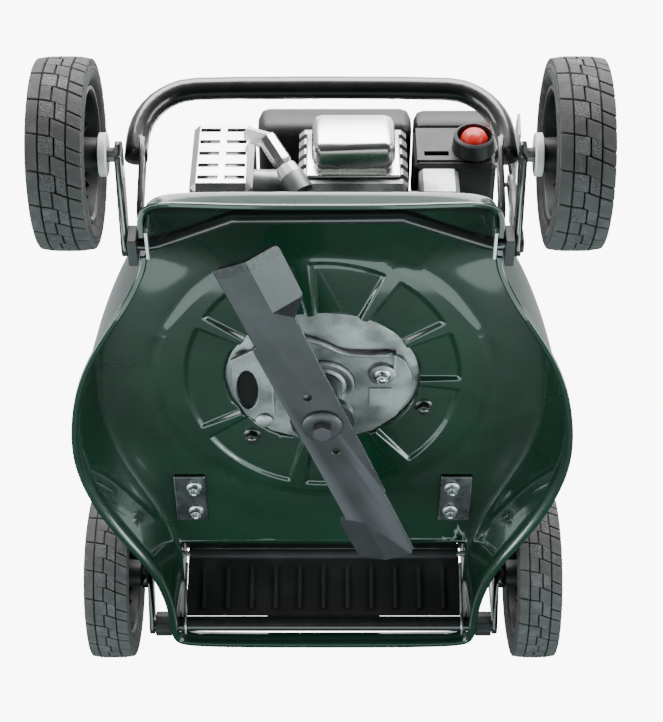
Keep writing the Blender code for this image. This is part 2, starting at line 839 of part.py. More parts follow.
def make_height_lever():
    """A flat spring lever on the front arm, with a moulded grip and a quadrant plate behind it."""
    side = FRONT_ARM_SIDE + ARM_THICK + GAP
    thick = 0.0025
    shaft = (FRONT_SHAFT_FORWARD, FRONT_SHAFT_UP)
    top = (FRONT_SHAFT_FORWARD - 0.010, 0.214)
    lever = side_plate("height_lever", [capsule(shaft, top, 0.0075)], side + thick / 2, thick, "black_plastic")
    grip = block(
        "lever_grip",
        (side - 0.004, top[0] - 0.010, top[1] - 0.010),
        (side + thick + 0.004, top[0] + 0.010, top[1] + 0.020),
        round_edges=0.0035,
    )
    fuse(lever, grip)
    inner = side + thick + 0.0012
    plate_thick = 0.0025
    reach = 0.128
    arc_in = circle(shaft, reach - 0.022, 8, math.radians(122), math.radians(-52))
    arc_out = circle(shaft, reach, 8, math.radians(70), math.radians(52))
    base = [(0.150, 0.150), (0.150, ROOF_UP + GAP), (0.176, ROOF_UP + GAP), (0.176, 0.138)]
    plate = side_plate("height_quadrant", [arc_out + base + arc_in], inner + plate_thick / 2, plate_thick, "grey_plate")
    foot = block(
        "quadrant_foot",
        (0.138, 0.152, ROOF_UP + GAP),
        (inner + plate_thick / 2, 0.168, ROOF_UP + GAP + 0.003),
    )
    fuse(plate, foot)
    return lever


def hub_inner_reach(wheel_side, arm_side):
    """How far the hub's boss reaches inwards from the wheel's middle."""
    collar = COLLAR_THICK + 3 * GAP if arm_side == FRONT_ARM_SIDE else 0.006
    start = arm_side + ARM_THICK + collar
    if arm_side == FRONT_ARM_SIDE:
        start += 0.006
    return wheel_side - start


def rim_radius(wheel_radius):
    return wheel_radius - RUBBER_DEPTH


def make_hub(name, sign, side, forward, up, wheel_radius, inner_reach):
    """A dished plastic wheel: boss, web near the outer face, rim, and ribs on the inner side."""
    rim = rim_radius(wheel_radius)
    half = TYRE_WIDTH * 0.42
    outer = TYRE_WIDTH * 0.34
    web = TYRE_WIDTH * 0.20
    bore = STUB_RADIUS + GAP
    profile = [
        (HUB_BOSS_RADIUS, outer),
        (HUB_BOSS_RADIUS + 0.003, web + HUB_WALL),
        (rim - HUB_WALL, web + HUB_WALL),
        (rim, half),
        (rim, -half),
        (rim - HUB_WALL, -half),
        (rim - HUB_WALL * 1.5, web),
        (HUB_BOSS_RADIUS, web - 0.002),
        (HUB_BOSS_RADIUS - 0.001, -inner_reach),
        (bore, -inner_reach),
        (bore, outer),
    ]
    hub = turned(name, profile, HUB_STEPS, spot(sign * side, forward, up), (sign, 0, 0), "black_plastic")
    ribs = bmesh.new()
    length = rim - HUB_WALL * 0.5 - HUB_BOSS_RADIUS + 0.001
    depth = half + web - 0.008
    for i in range(HUB_RIBS):
        shape = Matrix.Diagonal((length, 0.0018, depth, 1.0))
        out = Matrix.Translation((HUB_BOSS_RADIUS - 0.001 + length / 2, 0, web + 0.001 - depth / 2))
        turn = Matrix.Rotation(2 * math.pi * (i + 0.5) / HUB_RIBS, 4, "Z")
        bmesh.ops.create_cube(ribs, size=1.0, matrix=turn @ out @ shape)
    mesh = bpy.data.meshes.new(f"{name}_ribs")
    ribs.to_mesh(mesh)
    ribs.free()
    rib_tool = place(add(f"{name}_ribs", mesh), hub.location, (sign, 0, 0))
    return fuse(hub, rib_tool)


def tread_angle(step, across):
    """Angle of a tread corner: wide blocks and narrow grooves, staggered between the two halves."""
    half_pitch = math.pi / TREAD_PITCHES
    share = 0.20 if (step % 2 == 0) == (across > 0) else -0.20
    slant = TREAD_SLANT * abs(across) * (1 if across > 0 else -1)
    return half_pitch * (step + share) + slant


def make_tyre(name, sign, side, forward, up, wheel_radius):
    """A rubber ring whose tread grooves are pressed in between staggered blocks."""
    bore = rim_radius(wheel_radius) + GAP + 0.0004
    half = TYRE_WIDTH / 2
    profile = [
        (wheel_radius, 0.0016),
        (wheel_radius, -0.0016),
        (wheel_radius - 0.0035, -half * 0.84),
        (wheel_radius - 0.0125, -half),
        (bore, -half * 0.76),
        (bore, half * 0.76),
        (wheel_radius - 0.0125, half),
        (wheel_radius - 0.0035, half * 0.84),
    ]
    steps = 2 * TREAD_PITCHES
    at = spot(sign * side, forward, up)
    tyre = settle(turned(name, profile, steps, at, (sign, 0, 0), "rubber"))
    work = bmesh.new()
    work.from_mesh(tyre.data)
    tread_floor = wheel_radius - 0.009
    step_of = {}
    for vert in work.verts:
        angle = math.atan2(vert.co.y, vert.co.x)
        step_of[vert] = round(angle / (2 * math.pi) * steps) % steps
    grooves = []
    for face in work.faces:
        middle = face.calc_center_median()
        if math.hypot(middle.x, middle.y) < tread_floor:
            continue
        first = min(step_of[vert] for vert in face.verts)
        if first == 0 and max(step_of[vert] for vert in face.verts) > 1:
            first = steps - 1
        centre = abs(middle.z) < 0.001
        if centre or (abs(middle.z) < half * 0.9 and (first % 2 == 0) == (middle.z < 0)):
            grooves.append(face)
    for vert in work.verts:
        radius = math.hypot(vert.co.x, vert.co.y)
        if radius > tread_floor:
            angle = tread_angle(step_of[vert], vert.co.z / half)
            vert.co.x = radius * math.cos(angle)
            vert.co.y = radius * math.sin(angle)
            if abs(vert.co.z) < 0.002:
                vert.co.z += TREAD_ZIGZAG * (1 if step_of[vert] % 2 else -1)
    pressed = bmesh.ops.extrude_face_region(work, geom=grooves)
    bmesh.ops.delete(work, geom=grooves, context="FACES")
    for vert in [item for item in pressed["geom"] if isinstance(item, bmesh.types.BMVert)]:
        radius = math.hypot(vert.co.x, vert.co.y)
        scale = (radius - TREAD_DEPTH) / radius
        vert.co.x *= scale
        vert.co.y *= scale
    bmesh.ops.recalc_face_normals(work, faces=work.faces)
    work.to_mesh(tyre.data)
    work.free()
    ground = block(
        f"{name}_ground",
        (sign * side - 0.03, forward - 0.03, -0.01),
        (sign * side + 0.03, forward + 0.03, 0.0),
    )
    return cut(tyre, ground)


def make_wheels():
    for end, forward, up, radius, wheel_side, arm_side in (
        ("front", FRONT_AXLE_FORWARD, FRONT_AXLE_UP, FRONT_WHEEL_RADIUS, FRONT_WHEEL_SIDE, FRONT_ARM_SIDE),
        ("rear", -REAR_AXLE_BACK, REAR_AXLE_UP, REAR_WHEEL_RADIUS, REAR_WHEEL_SIDE, REAR_ARM_SIDE),
    ):
        reach = hub_inner_reach(wheel_side, arm_side)
        for name, sign in sides():
            hub = make_hub(f"{end}_hub_{name}", sign, wheel_side, forward, up, radius, reach)
            tyre = make_tyre(f"{end}_tyre_{name}", sign, wheel_side, forward, up, radius)
            spin = axis_empty(f"{end}_wheel_{name}", spot(sign * wheel_side, forward, up))
            hang(spin, hub, tyre)
            if end == "front":
                start = wheel_side - reach - GAP - COLLAR_THICK
                bore = STUB_RADIUS + GAP
                profile = [
                    (COLLAR_RADIUS, COLLAR_THICK),
                    (COLLAR_RADIUS, 0.0),
                    (bore, 0.0),
                    (bore, COLLAR_THICK),
                ]
                at = spot(sign * start, forward, up)
                turned(f"front_collar_{name}", profile, 14, at, (sign, 0, 0), "nylon")


def make_blade():
    """A flat bar whose trailing corners are bent up into wings, with ground cutting edges."""
    half = BLADE_LENGTH / 2
    wing = half - WING_LENGTH
    stations = (-half, -wing - 0.012, -wing, wing, wing + 0.012, half)
    work = bmesh.new()
    rows = []
    for along in stations:
        winged = abs(along) > wing + 0.001
        trail = -1 if along > 0 else 1
        edge = BLADE_HALF_WIDTH + (WING_WIDTH if winged else 0)
        lift = WING_LIFT if winged else 0.0
        points = [
            (-BLADE_HALF_WIDTH * trail, 0.0),
            (BLADE_HALF_WIDTH * 0.35 * trail, 0.0),
            (edge * trail, lift),
        ]
        if along > 0:
            points.reverse()
        rows.append([(across, along, up) for across, up in points])
    middle = len(stations) // 2
    grid = []
    for row in rows:
        grid.append([work.verts.new(point) for point in row])
    for i, (first, second) in enumerate(zip(grid, grid[1:])):
        if i + 1 == middle:
            continue
        for j in range(2):
            work.faces.new((first[j], first[j + 1], second[j + 1], second[j]))
    low = grid[middle - 1]
    high = grid[middle]
    work.faces.new((low[0], low[1], low[2], high[2], high[1], high[0]))
    mesh = bpy.data.meshes.new("blade")
    bmesh.ops.recalc_face_normals(work, faces=work.faces)
    work.to_mesh(mesh)
    work.free()
    blade = add("blade", mesh, "blade_paint")
    blade.location = spot(0, 0, BLADE_UP)
    blade.rotation_euler = (0, 0, math.pi - BLADE_TURN)
    shell = blade.modifiers.new("plate", "SOLIDIFY")
    shell.thickness = BLADE_THICK
    shell.offset = 0
    turn = Matrix.Rotation(math.pi - BLADE_TURN, 4, "Z")
    for name, along, radius in (
        ("centre", 0.0, BOLT_RADIUS + GAP),
        ("first", BLADE_HOLE_PITCH, 0.0045),
        ("second", -BLADE_HOLE_PITCH, 0.0045),
    ):
        at = blade.location + turn @ Vector((0, along, -0.01))
        cut(blade, drum(f"blade_hole_{name}", at, (0, 0, 1), radius, 0.02, sides=12))
    for end in (1, -1):
        length = WING_LENGTH + 0.022
        grind = bmesh.new()
        tilt = Matrix.Rotation(math.radians(-30) * end, 4, "Y")
        out = Matrix.Translation(((BLADE_HALF_WIDTH + 0.0055) * end, end * (half - length / 2 + 0.004), 0.0015))
        shape = Matrix.Diagonal((0.020, length + 0.008, 0.008, 1.0))
        bmesh.ops.create_cube(grind, size=1.0, matrix=out @ tilt @ shape)
        mesh = bpy.data.meshes.new("grind")
        grind.to_mesh(mesh)
        grind.free()
        tool = add(f"blade_grind_{end + 1}", mesh)
        tool.location = blade.location
        tool.rotation_euler = blade.rotation_euler
        cut(blade, tool)
    return blade


def blade_top():
    return BLADE_UP + BLADE_THICK / 2


def make_drive():
    """Crankshaft, blade holder, cup washer and bolt on the blade's axis."""
    blade = make_blade()
    top = blade_top()
    under = BLADE_UP - BLADE_THICK / 2
    up = (0, 0, 1)
    bore = CRANK_RADIUS + GAP
    flange_top = top + GAP + 0.007
    holder_top = PLATFORM_UP - SUMP_DROP - 0.010
    profile = [
        (0.0185, holder_top),
        (0.0185, flange_top),
        (HOLDER_RADIUS, flange_top),
        (HOLDER_RADIUS, top + GAP),
        (bore, top + GAP),
        (bore, holder_top),
    ]
    holder = turned("blade_holder", profile, 16, spot(0, 0, 0), up, "black_paint")
    crank_low = top + 2 * GAP
    crank_top = SHROUD_TOP - 0.050
    crank = drum("crankshaft", spot(0, 0, crank_low), up, CRANK_RADIUS, crank_top - crank_low, "bright_steel", sides=16)
    cup_profile = [
        (0.019, under - GAP),
        (0.019, under - GAP - 0.002),
        (0.0145, under - GAP - 0.0045),
        (BOLT_RADIUS + GAP, under - GAP - 0.0045),
        (BOLT_RADIUS + GAP, under - GAP),
    ]
    washer = turned("blade_washer", cup_profile, 16, spot(0, 0, 0), up, "blade_paint")
    head_top = under - 2 * GAP - 0.0045
    bolt = drum("blade_bolt", spot(0, 0, head_top - 0.007), up, 0.0095, 0.007, "blade_paint", sides=6)
    shank = drum("bolt_shank", spot(0, 0, head_top - 0.001), up, BOLT_RADIUS, top - head_top + 0.001, sides=12)
    fuse(bolt, shank)
    flywheel = turned(
        "flywheel",
        [
            (0.084, crank_top),
            (0.084, crank_top - 0.018),
            (0.060, crank_top - 0.022),
            (bore, crank_top - 0.022),
            (bore, crank_top),
        ],
        20,
        spot(0, 0, 0),
        up,
        "cast_aluminium",
    )
    vanes = bmesh.new()
    for i in range(FAN_VANES):
        shape = Matrix.Diagonal((0.032, 0.003, 0.014, 1.0))
        out = Matrix.Translation((0.064, 0, crank_top + 0.006))
        turn = Matrix.Rotation(2 * math.pi * i / FAN_VANES, 4, "Z")
        lean = Matrix.Rotation(math.radians(25), 4, "Z")
        bmesh.ops.create_cube(vanes, size=1.0, matrix=turn @ out @ lean @ shape)
    mesh = bpy.data.meshes.new("vanes")
    vanes.to_mesh(mesh)
    vanes.free()
    tool = add("fan_vanes", mesh)
    tool.location = spot(0, 0, 0)
    fuse(flywheel, tool)
    spin = axis_empty("blade_axis", spot(0, 0, BLADE_UP))
    hang(spin, blade, holder, crank, washer, bolt, flywheel)


def make_engine_block():
    """Mounting flange, sump that shows through the deck, crankcase and cylinder barrel."""
    low = PLATFORM_UP + GAP
    bore = CRANK_RADIUS + GAP
    sump = PLATFORM_UP - SUMP_DROP
    profile = [
        (FLANGE_RADIUS, low + FLANGE_THICK),
        (FLANGE_RADIUS, low),
        (SUMP_RADIUS, low),
        (SUMP_RADIUS - 0.004, sump),
        (0.030, sump),
        (0.021, sump - 0.006),
        (bore, sump - 0.006),
        (bore, low + FLANGE_THICK),
    ]
    casting = turned("engine_block", profile, 24, spot(0, 0, 0), (0, 0, 1), "cast_aluminium")
    case_top = SHROUD_TOP - 0.088
    case = block("crankcase", (-0.078, -0.078, low + 0.004), (0.082, 0.076, case_top), round_edges=0.018)
    cut(case, drum("crank_bore", spot(0, 0, 0.1), (0, 0, 1), bore + 0.001, 0.2))
    barrel = drum(
        "cylinder_barrel",
        spot(CYLINDER_SIDE, 0.060, BARREL_UP),
        (0, -1, 0),
        BARREL_RADIUS,
        HEAD_BACK - 0.060 - GAP,
        sides=12,
    )
    fill_top = spot(0.120, -0.056, 0.262)
    elbow = [spot(0.070, -0.050, 0.140), spot(0.118, -0.055, 0.170), fill_top]
    filler = settle(tube("oil_filler", bent(elbow, 0.020, 1), FILLER_RADIUS))
    fuse(casting, case, barrel, filler)
    slope = (elbow[1] - fill_top).normalized()
    cut(casting, drum("filler_bore", fill_top - slope * 0.01, slope, FILLER_RADIUS - 0.0025, 0.075, sides=10))
    stick = [
        (0.0, 0.012),
        (0.012, 0.012),
        (0.0140, 0.009),
        (0.0140, 0.0),
        (0.0030, 0.0),
        (0.0030, -0.055),
        (0.0, -0.055),
    ]
    turned("dipstick", stick, 12, fill_top - slope * GAP, -slope, "red_rubber")


def make_head():
    left = CYLINDER_SIDE + HEAD_WIDTH / 2
    right = CYLINDER_SIDE - HEAD_WIDTH / 2
    low = HEAD_UP - HEAD_HEIGHT / 2
    high = HEAD_UP + HEAD_HEIGHT / 2
    head = block(
        "cylinder_head",
        (right, HEAD_BACK, low),
        (left, HEAD_BACK + HEAD_DEPTH, high),
        "cast_aluminium",
        0.005,
        1,
    )
    slots = bmesh.new()
    pitch = HEAD_HEIGHT / FIN_COUNT
    front = HEAD_BACK + HEAD_DEPTH
    for side in (left, right):
        for i in range(FIN_COUNT - 1):
            centre = spot(side, (HEAD_BACK + front) / 2, low + pitch * (i + 1))
            shape = Matrix.Diagonal((0.028, HEAD_DEPTH + 0.02, pitch * 0.45, 1.0))
            bmesh.ops.create_cube(slots, size=1.0, matrix=Matrix.Translation(centre) @ shape)
    mesh = bpy.data.meshes.new("fin_slots")
    slots.to_mesh(mesh)
    slots.free()
    cut(head, add("fin_slots", mesh))
    seat, towards = plug_seat()
    fuse(head, drum("plug_boss", seat - towards * 0.018, towards, 0.0115, 0.018, sides=12))
    start = front + GAP
    flange = 0.004
    half_width = COVER_WIDTH / 2
    half_height = COVER_HEIGHT / 2
    centre = HEAD_UP - 0.002
    cover = block(
        "rocker_cover",
        (CYLINDER_SIDE - half_width, start + flange / 2, centre - half_height),
        (CYLINDER_SIDE + half_width, start + COVER_DEPTH, centre + half_height),
        "bright_steel",
        0.009,
    )
    rim = block(
        "cover_rim",
        (CYLINDER_SIDE - half_width - 0.005, start, centre - half_height - 0.005),
        (CYLINDER_SIDE + half_width + 0.005, start + flange, centre + half_height + 0.005),
        round_edges=0.0015,
        segments=1,
    )
    fuse(cover, rim)


def slot_grid(name, columns, rows, centre, pitch, size):
    """Upright faces' slots: boxes in columns and rows round a centre."""
    slots = bmesh.new()
    for column in range(columns):
        for row in range(rows):
            shift = Vector(((column - (columns - 1) / 2) * pitch[0], 0, (row - (rows - 1) / 2) * pitch[1]))
            shape = Matrix.Diagonal((*size, 1.0))
            bmesh.ops.create_cube(slots, size=1.0, matrix=Matrix.Translation(centre + shift) @ shape)
    mesh = bpy.data.meshes.new(name)
    slots.to_mesh(mesh)
    slots.free()
    return add(name, mesh)


def make_muffler():
    half = MUFFLER_WIDTH / 2
    wall = 0.0015
    body_gap = 0.006
    muffler = block(
        "muffler",
        (MUFFLER_SIDE - half + body_gap, 0.092, MUFFLER_LOW + body_gap),
        (MUFFLER_SIDE + half - body_gap, MUFFLER_FRONT - 0.010, MUFFLER_HIGH - body_gap),
        "cast_aluminium",
        0.010,
        1,
    )
    pipe_start = spot(MUFFLER_SIDE + half - body_gap - 0.006, 0.166, HEAD_UP - 0.005)
    pipe_end = CYLINDER_SIDE - HEAD_WIDTH / 2 - GAP
    pipe = drum("exhaust_pipe", pipe_start, (1, 0, 0), 0.012, pipe_end - pipe_start.x)
    fuse(muffler, pipe)
    guard = block(
        "muffler_guard",
        (MUFFLER_SIDE - half, 0.118, MUFFLER_LOW),
        (MUFFLER_SIDE + half, MUFFLER_FRONT, MUFFLER_HIGH),
        "bright_steel",
        0.006,
        1,
    )
    hollow = block(
        "guard_hollow",
        (MUFFLER_SIDE - half + wall, 0.100, MUFFLER_LOW + wall),
        (MUFFLER_SIDE + half - wall, MUFFLER_FRONT - wall, MUFFLER_HIGH - wall),
        round_edges=0.0055,
        segments=1,
    )
    cut(guard, hollow)
    middle = (MUFFLER_LOW + MUFFLER_HIGH) / 2
    fronts = slot_grid(
        "guard_slots", 2, 5, spot(MUFFLER_SIDE, MUFFLER_FRONT, middle), (0.024, 0.017), (0.018, 0.008, 0.005)
    )
    side = slot_grid(
        "guard_side_slots", 1, 3, spot(MUFFLER_SIDE, 0.152, middle), (0, 0.028), (MUFFLER_WIDTH + 0.02, 0.038, 0.006)
    )
    pipe_way = drum("guard_pipe_way", pipe_start, (1, 0, 0), 0.0145, 0.03)
    cut(guard, fronts, side, pipe_way)


def plug_seat():
    """Middle of the plug's seat on the head's lower front corner, and the way the plug points."""
    seat = spot(CYLINDER_SIDE - HEAD_WIDTH / 2 - 0.006, HEAD_BACK + HEAD_DEPTH + 0.004, HEAD_UP - 0.034)
    return seat, Vector((-0.52, -0.41, 0.75)).normalized()


def make_spark_plug():
    seat, towards = plug_seat()
    start = seat + towards * GAP
    profile = [
        (0.0, 0.034),
        (0.0035, 0.034),
        (0.0045, 0.012),
        (0.0095, 0.010),
        (0.0105, 0.002),
        (0.0105, 0.0),
        (0.0, 0.0),
    ]
    turned("spark_plug", profile, 10, start, towards, "white_ceramic")
    cap_start = start + towards * (0.012 + GAP)
    bore = 0.0050
    cap_profile = [
        (0.0, 0.030),
        (0.0085, 0.030),
        (0.0090, 0.004),
        (0.0075, 0.0),
        (bore, 0.0),
        (bore, 0.024),
        (0.0, 0.024),
    ]
    cap = turned("spark_plug_cap", cap_profile, 8, cap_start, towards, "bright_steel")
    elbow_at = cap_start + towards * 0.026
    elbow = drum("cap_elbow", elbow_at, Vector((-0.75, 0.15, 0.65)), 0.0085, 0.026, end_radius=0.0065, sides=8)
    fuse(cap, elbow)


def make_shroud():
    """Fan housing over the flywheel with the air duct over the head, then the recoil cover on top."""
    low = SHROUD_TOP - 0.086
    wall = SHROUD_WALL
    radius = SHROUD_RADIUS
    opening = RECOIL_RADIUS - 0.022
    profile = [
        (opening, SHROUD_TOP),
        (radius - 0.008, SHROUD_TOP),
        (radius, SHROUD_TOP - 0.010),
        (radius, low),
        (radius - wall, low),
        (radius - wall, SHROUD_TOP - 0.010),
        (radius - 0.010, SHROUD_TOP - wall),
        (opening, SHROUD_TOP - wall),
    ]
    shroud = turned("fan_shroud", profile, 24, spot(0, 0, 0), (0, 0, 1), "black_plastic")
    duct = block(
        "head_duct",
        (-0.060, 0.080, HEAD_UP + HEAD_HEIGHT / 2 + 0.003),
        (0.083, 0.188, SHROUD_TOP - 0.002),
        round_edges=0.010,
        segments=2,
    )
    clear = drum("duct_clear", spot(0, 0, low), (0, 0, 1), radius - wall / 2, 0.2, sides=24)
    cut(duct, clear)
    fuse(shroud, duct)
    barrel_way = drum(
        "barrel_way",
        spot(CYLINDER_SIDE, 0.060, BARREL_UP),
        (0, -1, 0),
        BARREL_RADIUS + 0.003,
        SHROUD_RADIUS - 0.040,
        sides=12,
    )
    cut(shroud, barrel_way)
    base = SHROUD_TOP + GAP
    top = base + RECOIL_HEIGHT
    recoil_profile = [
        (0.0, top),
        (0.030, top),
        (RECOIL_RADIUS - 0.018, top - 0.006),
        (RECOIL_RADIUS - 0.004, top - 0.018),
        (RECOIL_RADIUS, base),
        (RECOIL_RADIUS - wall, base),
        (RECOIL_RADIUS - 0.008, top - 0.020),
        (RECOIL_RADIUS - 0.021, top - 0.009),
        (0.0, top - wall),
    ]
    recoil = turned("recoil_cover", recoil_profile, 20, spot(0, 0, 0), (0, 0, 1), "black_plastic")
    vents = bmesh.new()
    for i in range(RECOIL_VENTS):
        shape = Matrix.Diagonal((0.026, 0.007, 0.03, 1.0))
        out = Matrix.Translation((0.046, 0, top))
        turn = Matrix.Rotation(2 * math.pi * (i + 0.5) / RECOIL_VENTS, 4, "Z")
        bmesh.ops.create_cube(vents, size=1.0, matrix=turn @ out @ shape)
    mesh = bpy.data.meshes.new("recoil_vents")
    vents.to_mesh(mesh)
    vents.free()
    tool = add("recoil_vents", mesh)
    tool.location = spot(0, 0, 0)
    away = Vector((-0.35, 1.0, 0.10)).normalized()
    eye_at = spot(0, 0, base + 0.004) + away * (RECOIL_RADIUS - 0.012)
    eyelet = drum("rope_eyelet", eye_at, away, 0.0085, 0.020, sides=12)
    hole = drum("rope_hole", eye_at - away * 0.02, away, 0.003, 0.06, sides=8)
    fuse(recoil, eyelet)
    cut(recoil, tool, hole)


def make_tank():
    low = SHROUD_TOP - 0.082
    high = SHROUD_TOP + 0.006
    back = SHROUD_RADIUS + 0.074
    tank = block("fuel_tank", (-0.108, -back, low), (0.070, -0.060, high), "black_plastic", 0.018)
    clear = drum("tank_clear", spot(0, 0, low - 0.02), (0, 0, 1), SHROUD_RADIUS + 0.0015, 0.2, sides=24)
    cut(tank, clear)
    neck_at = spot(-0.060, -back + 0.036, high - 0.004)
    neck = drum("tank_neck", neck_at, (0, 0, 1), 0.019, 0.012)
    fuse(tank, neck)
    cap_at = neck_at + Vector((0, 0, 0.012 + GAP))
    cap = turned(
        "fuel_cap",
        [(0.0, 0.015), (0.020, 0.015), (0.0235, 0.011), (0.0235, 0.0), (0.0, 0.0)],
        16,
        cap_at,
        (0, 0, 1),
        "black_plastic",
    )
    grip = block("cap_grip", (-0.060 - 0.018, -back + 0.0325, 0), (-0.060 + 0.018, -back + 0.0395, 0.01))
    grip.location.z = cap_at.z + 0.018
    fuse(cap, grip)


def make_intake():
    """Carburettor beside the head, air filter box above it and the primer on the box's front."""
    head_left = CYLINDER_SIDE + HEAD_WIDTH / 2
    front = HEAD_BACK + 0.038
    carburettor = block(
        "carburettor", (head_left + 0.010, 0.128, 0.160), (head_left + 0.046, front, 0.200), "cast_aluminium", 0.004, 1
    )
    throat = drum("carburettor_throat", spot(head_left + GAP, 0.155, 0.182), (1, 0, 0), 0.012, 0.020, sides=10)
    bowl = drum("carburettor_bowl", spot(head_left + 0.028, 0.155, 0.144), (0, 0, 1), 0.015, 0.020, sides=12)
    fuse(carburettor, throat, bowl)
    low = 0.200 + GAP
    base = block(
        "air_filter_base", (head_left + 0.007, 0.096, low), (FILTER_SIDE + 0.038, front, low + 0.056), "black_plastic", 0.004, 1
    )
    cover_low = low + 0.056 + GAP
    block(
        "air_filter_cover",
        (head_left + 0.008, 0.092, cover_low),
        (FILTER_SIDE + 0.040, front + 0.003, SHROUD_TOP - 0.004),
        "black_plastic",
        0.009,
    )
    plate_thick = 0.002
    plate = block(
        "control_plate",
        (head_left + 0.009, front - 0.001, low + 0.006),
        (PRIMER_SIDE - 0.010, front + plate_thick, low + 0.054),
    )
    slot = block(
        "control_slot",
        (head_left + 0.016, front - 0.010, PRIMER_UP - 0.010),
        (head_left + 0.038, front + 0.010, PRIMER_UP - 0.004),
    )
    fuse(base, plate)
    cut(base, slot)
    start = front + plate_thick + GAP
    ring_profile = [
        (0.0, 0.003),
        (PRIMER_RADIUS - 0.004, 0.003),
        (PRIMER_RADIUS - 0.003, 0.016),
        (PRIMER_RADIUS, 0.014),
        (PRIMER_RADIUS + 0.001, 0.0),
        (0.0, 0.0),
    ]
    turned("primer_housing", ring_profile, 16, spot(PRIMER_SIDE, start, PRIMER_UP), (0, -1, 0), "black_plastic")
    bulb_start = start + 0.003 + BULB_TRAVEL + GAP
    bulb_profile = [
        (0.0, 0.0105),
        (0.0055, 0.0098),
        (0.0098, 0.0072),
        (BULB_RADIUS, 0.0030),
        (BULB_RADIUS, 0.0),
        (0.0, 0.0),
    ]
    bulb = turned("primer_bulb", bulb_profile, 12, spot(PRIMER_SIDE, bulb_start, PRIMER_UP), (0, -1, 0), "red_rubber")
    press = axis_empty("primer_axis", spot(PRIMER_SIDE, bulb_start, PRIMER_UP))
    hang(press, bulb)


def handle_spot(side, along, lift=0.0):
    """A place on the handle: distance up its slope from the lower tube's start, and height off the slope."""
    back = HANDLE_START_BACK + along * math.cos(HANDLE_ANGLE) - lift * math.sin(HANDLE_ANGLE)
    up = HANDLE_START_UP + along * math.sin(HANDLE_ANGLE) + lift * math.cos(HANDLE_ANGLE)
    return spot(side, -back, up)


def make_brackets():
    """Straps under the roof and brackets above it; each pair clamps the sheet and carries the handle."""
    front = -STRAP_BACK
    back = -STRAP_BACK - STRAP_LENGTH
    for name, sign in sides():
        inner = HANDLE_START_SIDE - 0.013
        outer = HANDLE_START_SIDE + HANDLE_TUBE + GAP + 0.0035
        low = ROOF_UP - SHEET - GAP - 0.003
        block(
            f"handle_strap_{name}", (sign * inner, front, low), (sign * (outer + 0.004), back, low + 0.003), "zinc", 0.001, 1
        )
        base = ROOF_UP + GAP
        bracket = block(
            f"handle_bracket_{name}", (sign * inner, front, base), (sign * outer, back, base + 0.003), "black_paint"
        )
        web_side = sign * (outer - 0.0015)
        web = side_plate(
            f"bracket_web_{name}",
            [
                [
                    (front, base + 0.001),
                    (front, base + 0.030),
                    (front - 0.022, base + 0.052),
                    (back + 0.009, base + 0.060),
                    (back, base + 0.050),
                    (back, base + 0.001),
                ]
            ],
            web_side,
            0.003,
        )
        at = handle_spot(sign * (outer - 0.001), 0.020)
        stud = drum(f"bracket_stud_{name}", at, (-sign, 0, 0), HANDLE_STUD, outer - inner, sides=8)
        fuse(bracket, web, stud)


def make_handle():
    """Lower and upper tubes, each one bent length, clamped by two hand knobs, and the operator's bail."""
    lower_path = [
        handle_spot(HANDLE_START_SIDE, 0.0),
        handle_spot(HANDLE_START_SIDE, 0.10),
        handle_spot(HANDLE_WIDE_SIDE, 0.30),
        handle_spot(HANDLE_WIDE_SIDE, LOWER_HANDLE_LENGTH),
    ]
    other = [Vector((-point.x, point.y, point.z)) for point in reversed(lower_path)]
    lower = settle(tube("lower_handle", bent(lower_path + other, 0.045, 2), HANDLE_TUBE, "black_paint"))
    for name, sign in sides():
        at = handle_spot(sign * (HANDLE_START_SIDE + HANDLE_TUBE + 0.002), 0.020)
        way = drum(f"bracket_way_{name}", at, (-sign, 0, 0), HANDLE_STUD + 2 * GAP, 0.03, sides=8)
        cut(lower, way)
    upper_side = HANDLE_WIDE_SIDE + 2 * HANDLE_TUBE + GAP
    start = FOLD_AT - UPPER_OVERLAP
    end = FOLD_AT + UPPER_HANDLE_LENGTH - UPPER_OVERLAP
    upper_path = [handle_spot(upper_side, start), handle_spot(upper_side, end)]
    other = [Vector((-point.x, point.y, point.z)) for point in reversed(upper_path)]
    upper = settle(tube("upper_handle", bent(upper_path + other, 0.055, 4), HANDLE_TUBE, "black_paint"))
    stud = 0.004
    fold = axis_empty("handle_fold", handle_spot(0, FOLD_AT))
    stud_length = 4 * HANDLE_TUBE + GAP
    for name, sign in sides():
        at = handle_spot(sign * (upper_side + HANDLE_TUBE + GAP), FOLD_AT)
        for tubing, label in ((lower, "lower"), (upper, "upper")):
            hole = drum(f"{label}_hole_{name}", at, (-sign, 0, 0), stud + GAP, stud_length + 0.01, sides=10)
            cut(tubing, hole)
        profile = [
            (0.0, 0.016),
            (KNOB_RADIUS * 0.62, 0.016),
            (KNOB_RADIUS, 0.012),
            (KNOB_RADIUS, 0.004),
            (KNOB_RADIUS * 0.45, 0.0),
            (stud, 0.0),
            (stud, -stud_length),
            (0.0, -stud_length),
        ]
        knob = turned(f"handle_knob_{name}", profile, 10, at, (sign, 0, 0), "black_plastic")
        turn = axis_empty(f"knob_axis_{name}", at)
        hang(turn, knob)
        hang(fold, turn)
    hang(fold, upper, make_bail(upper, end, upper_side))


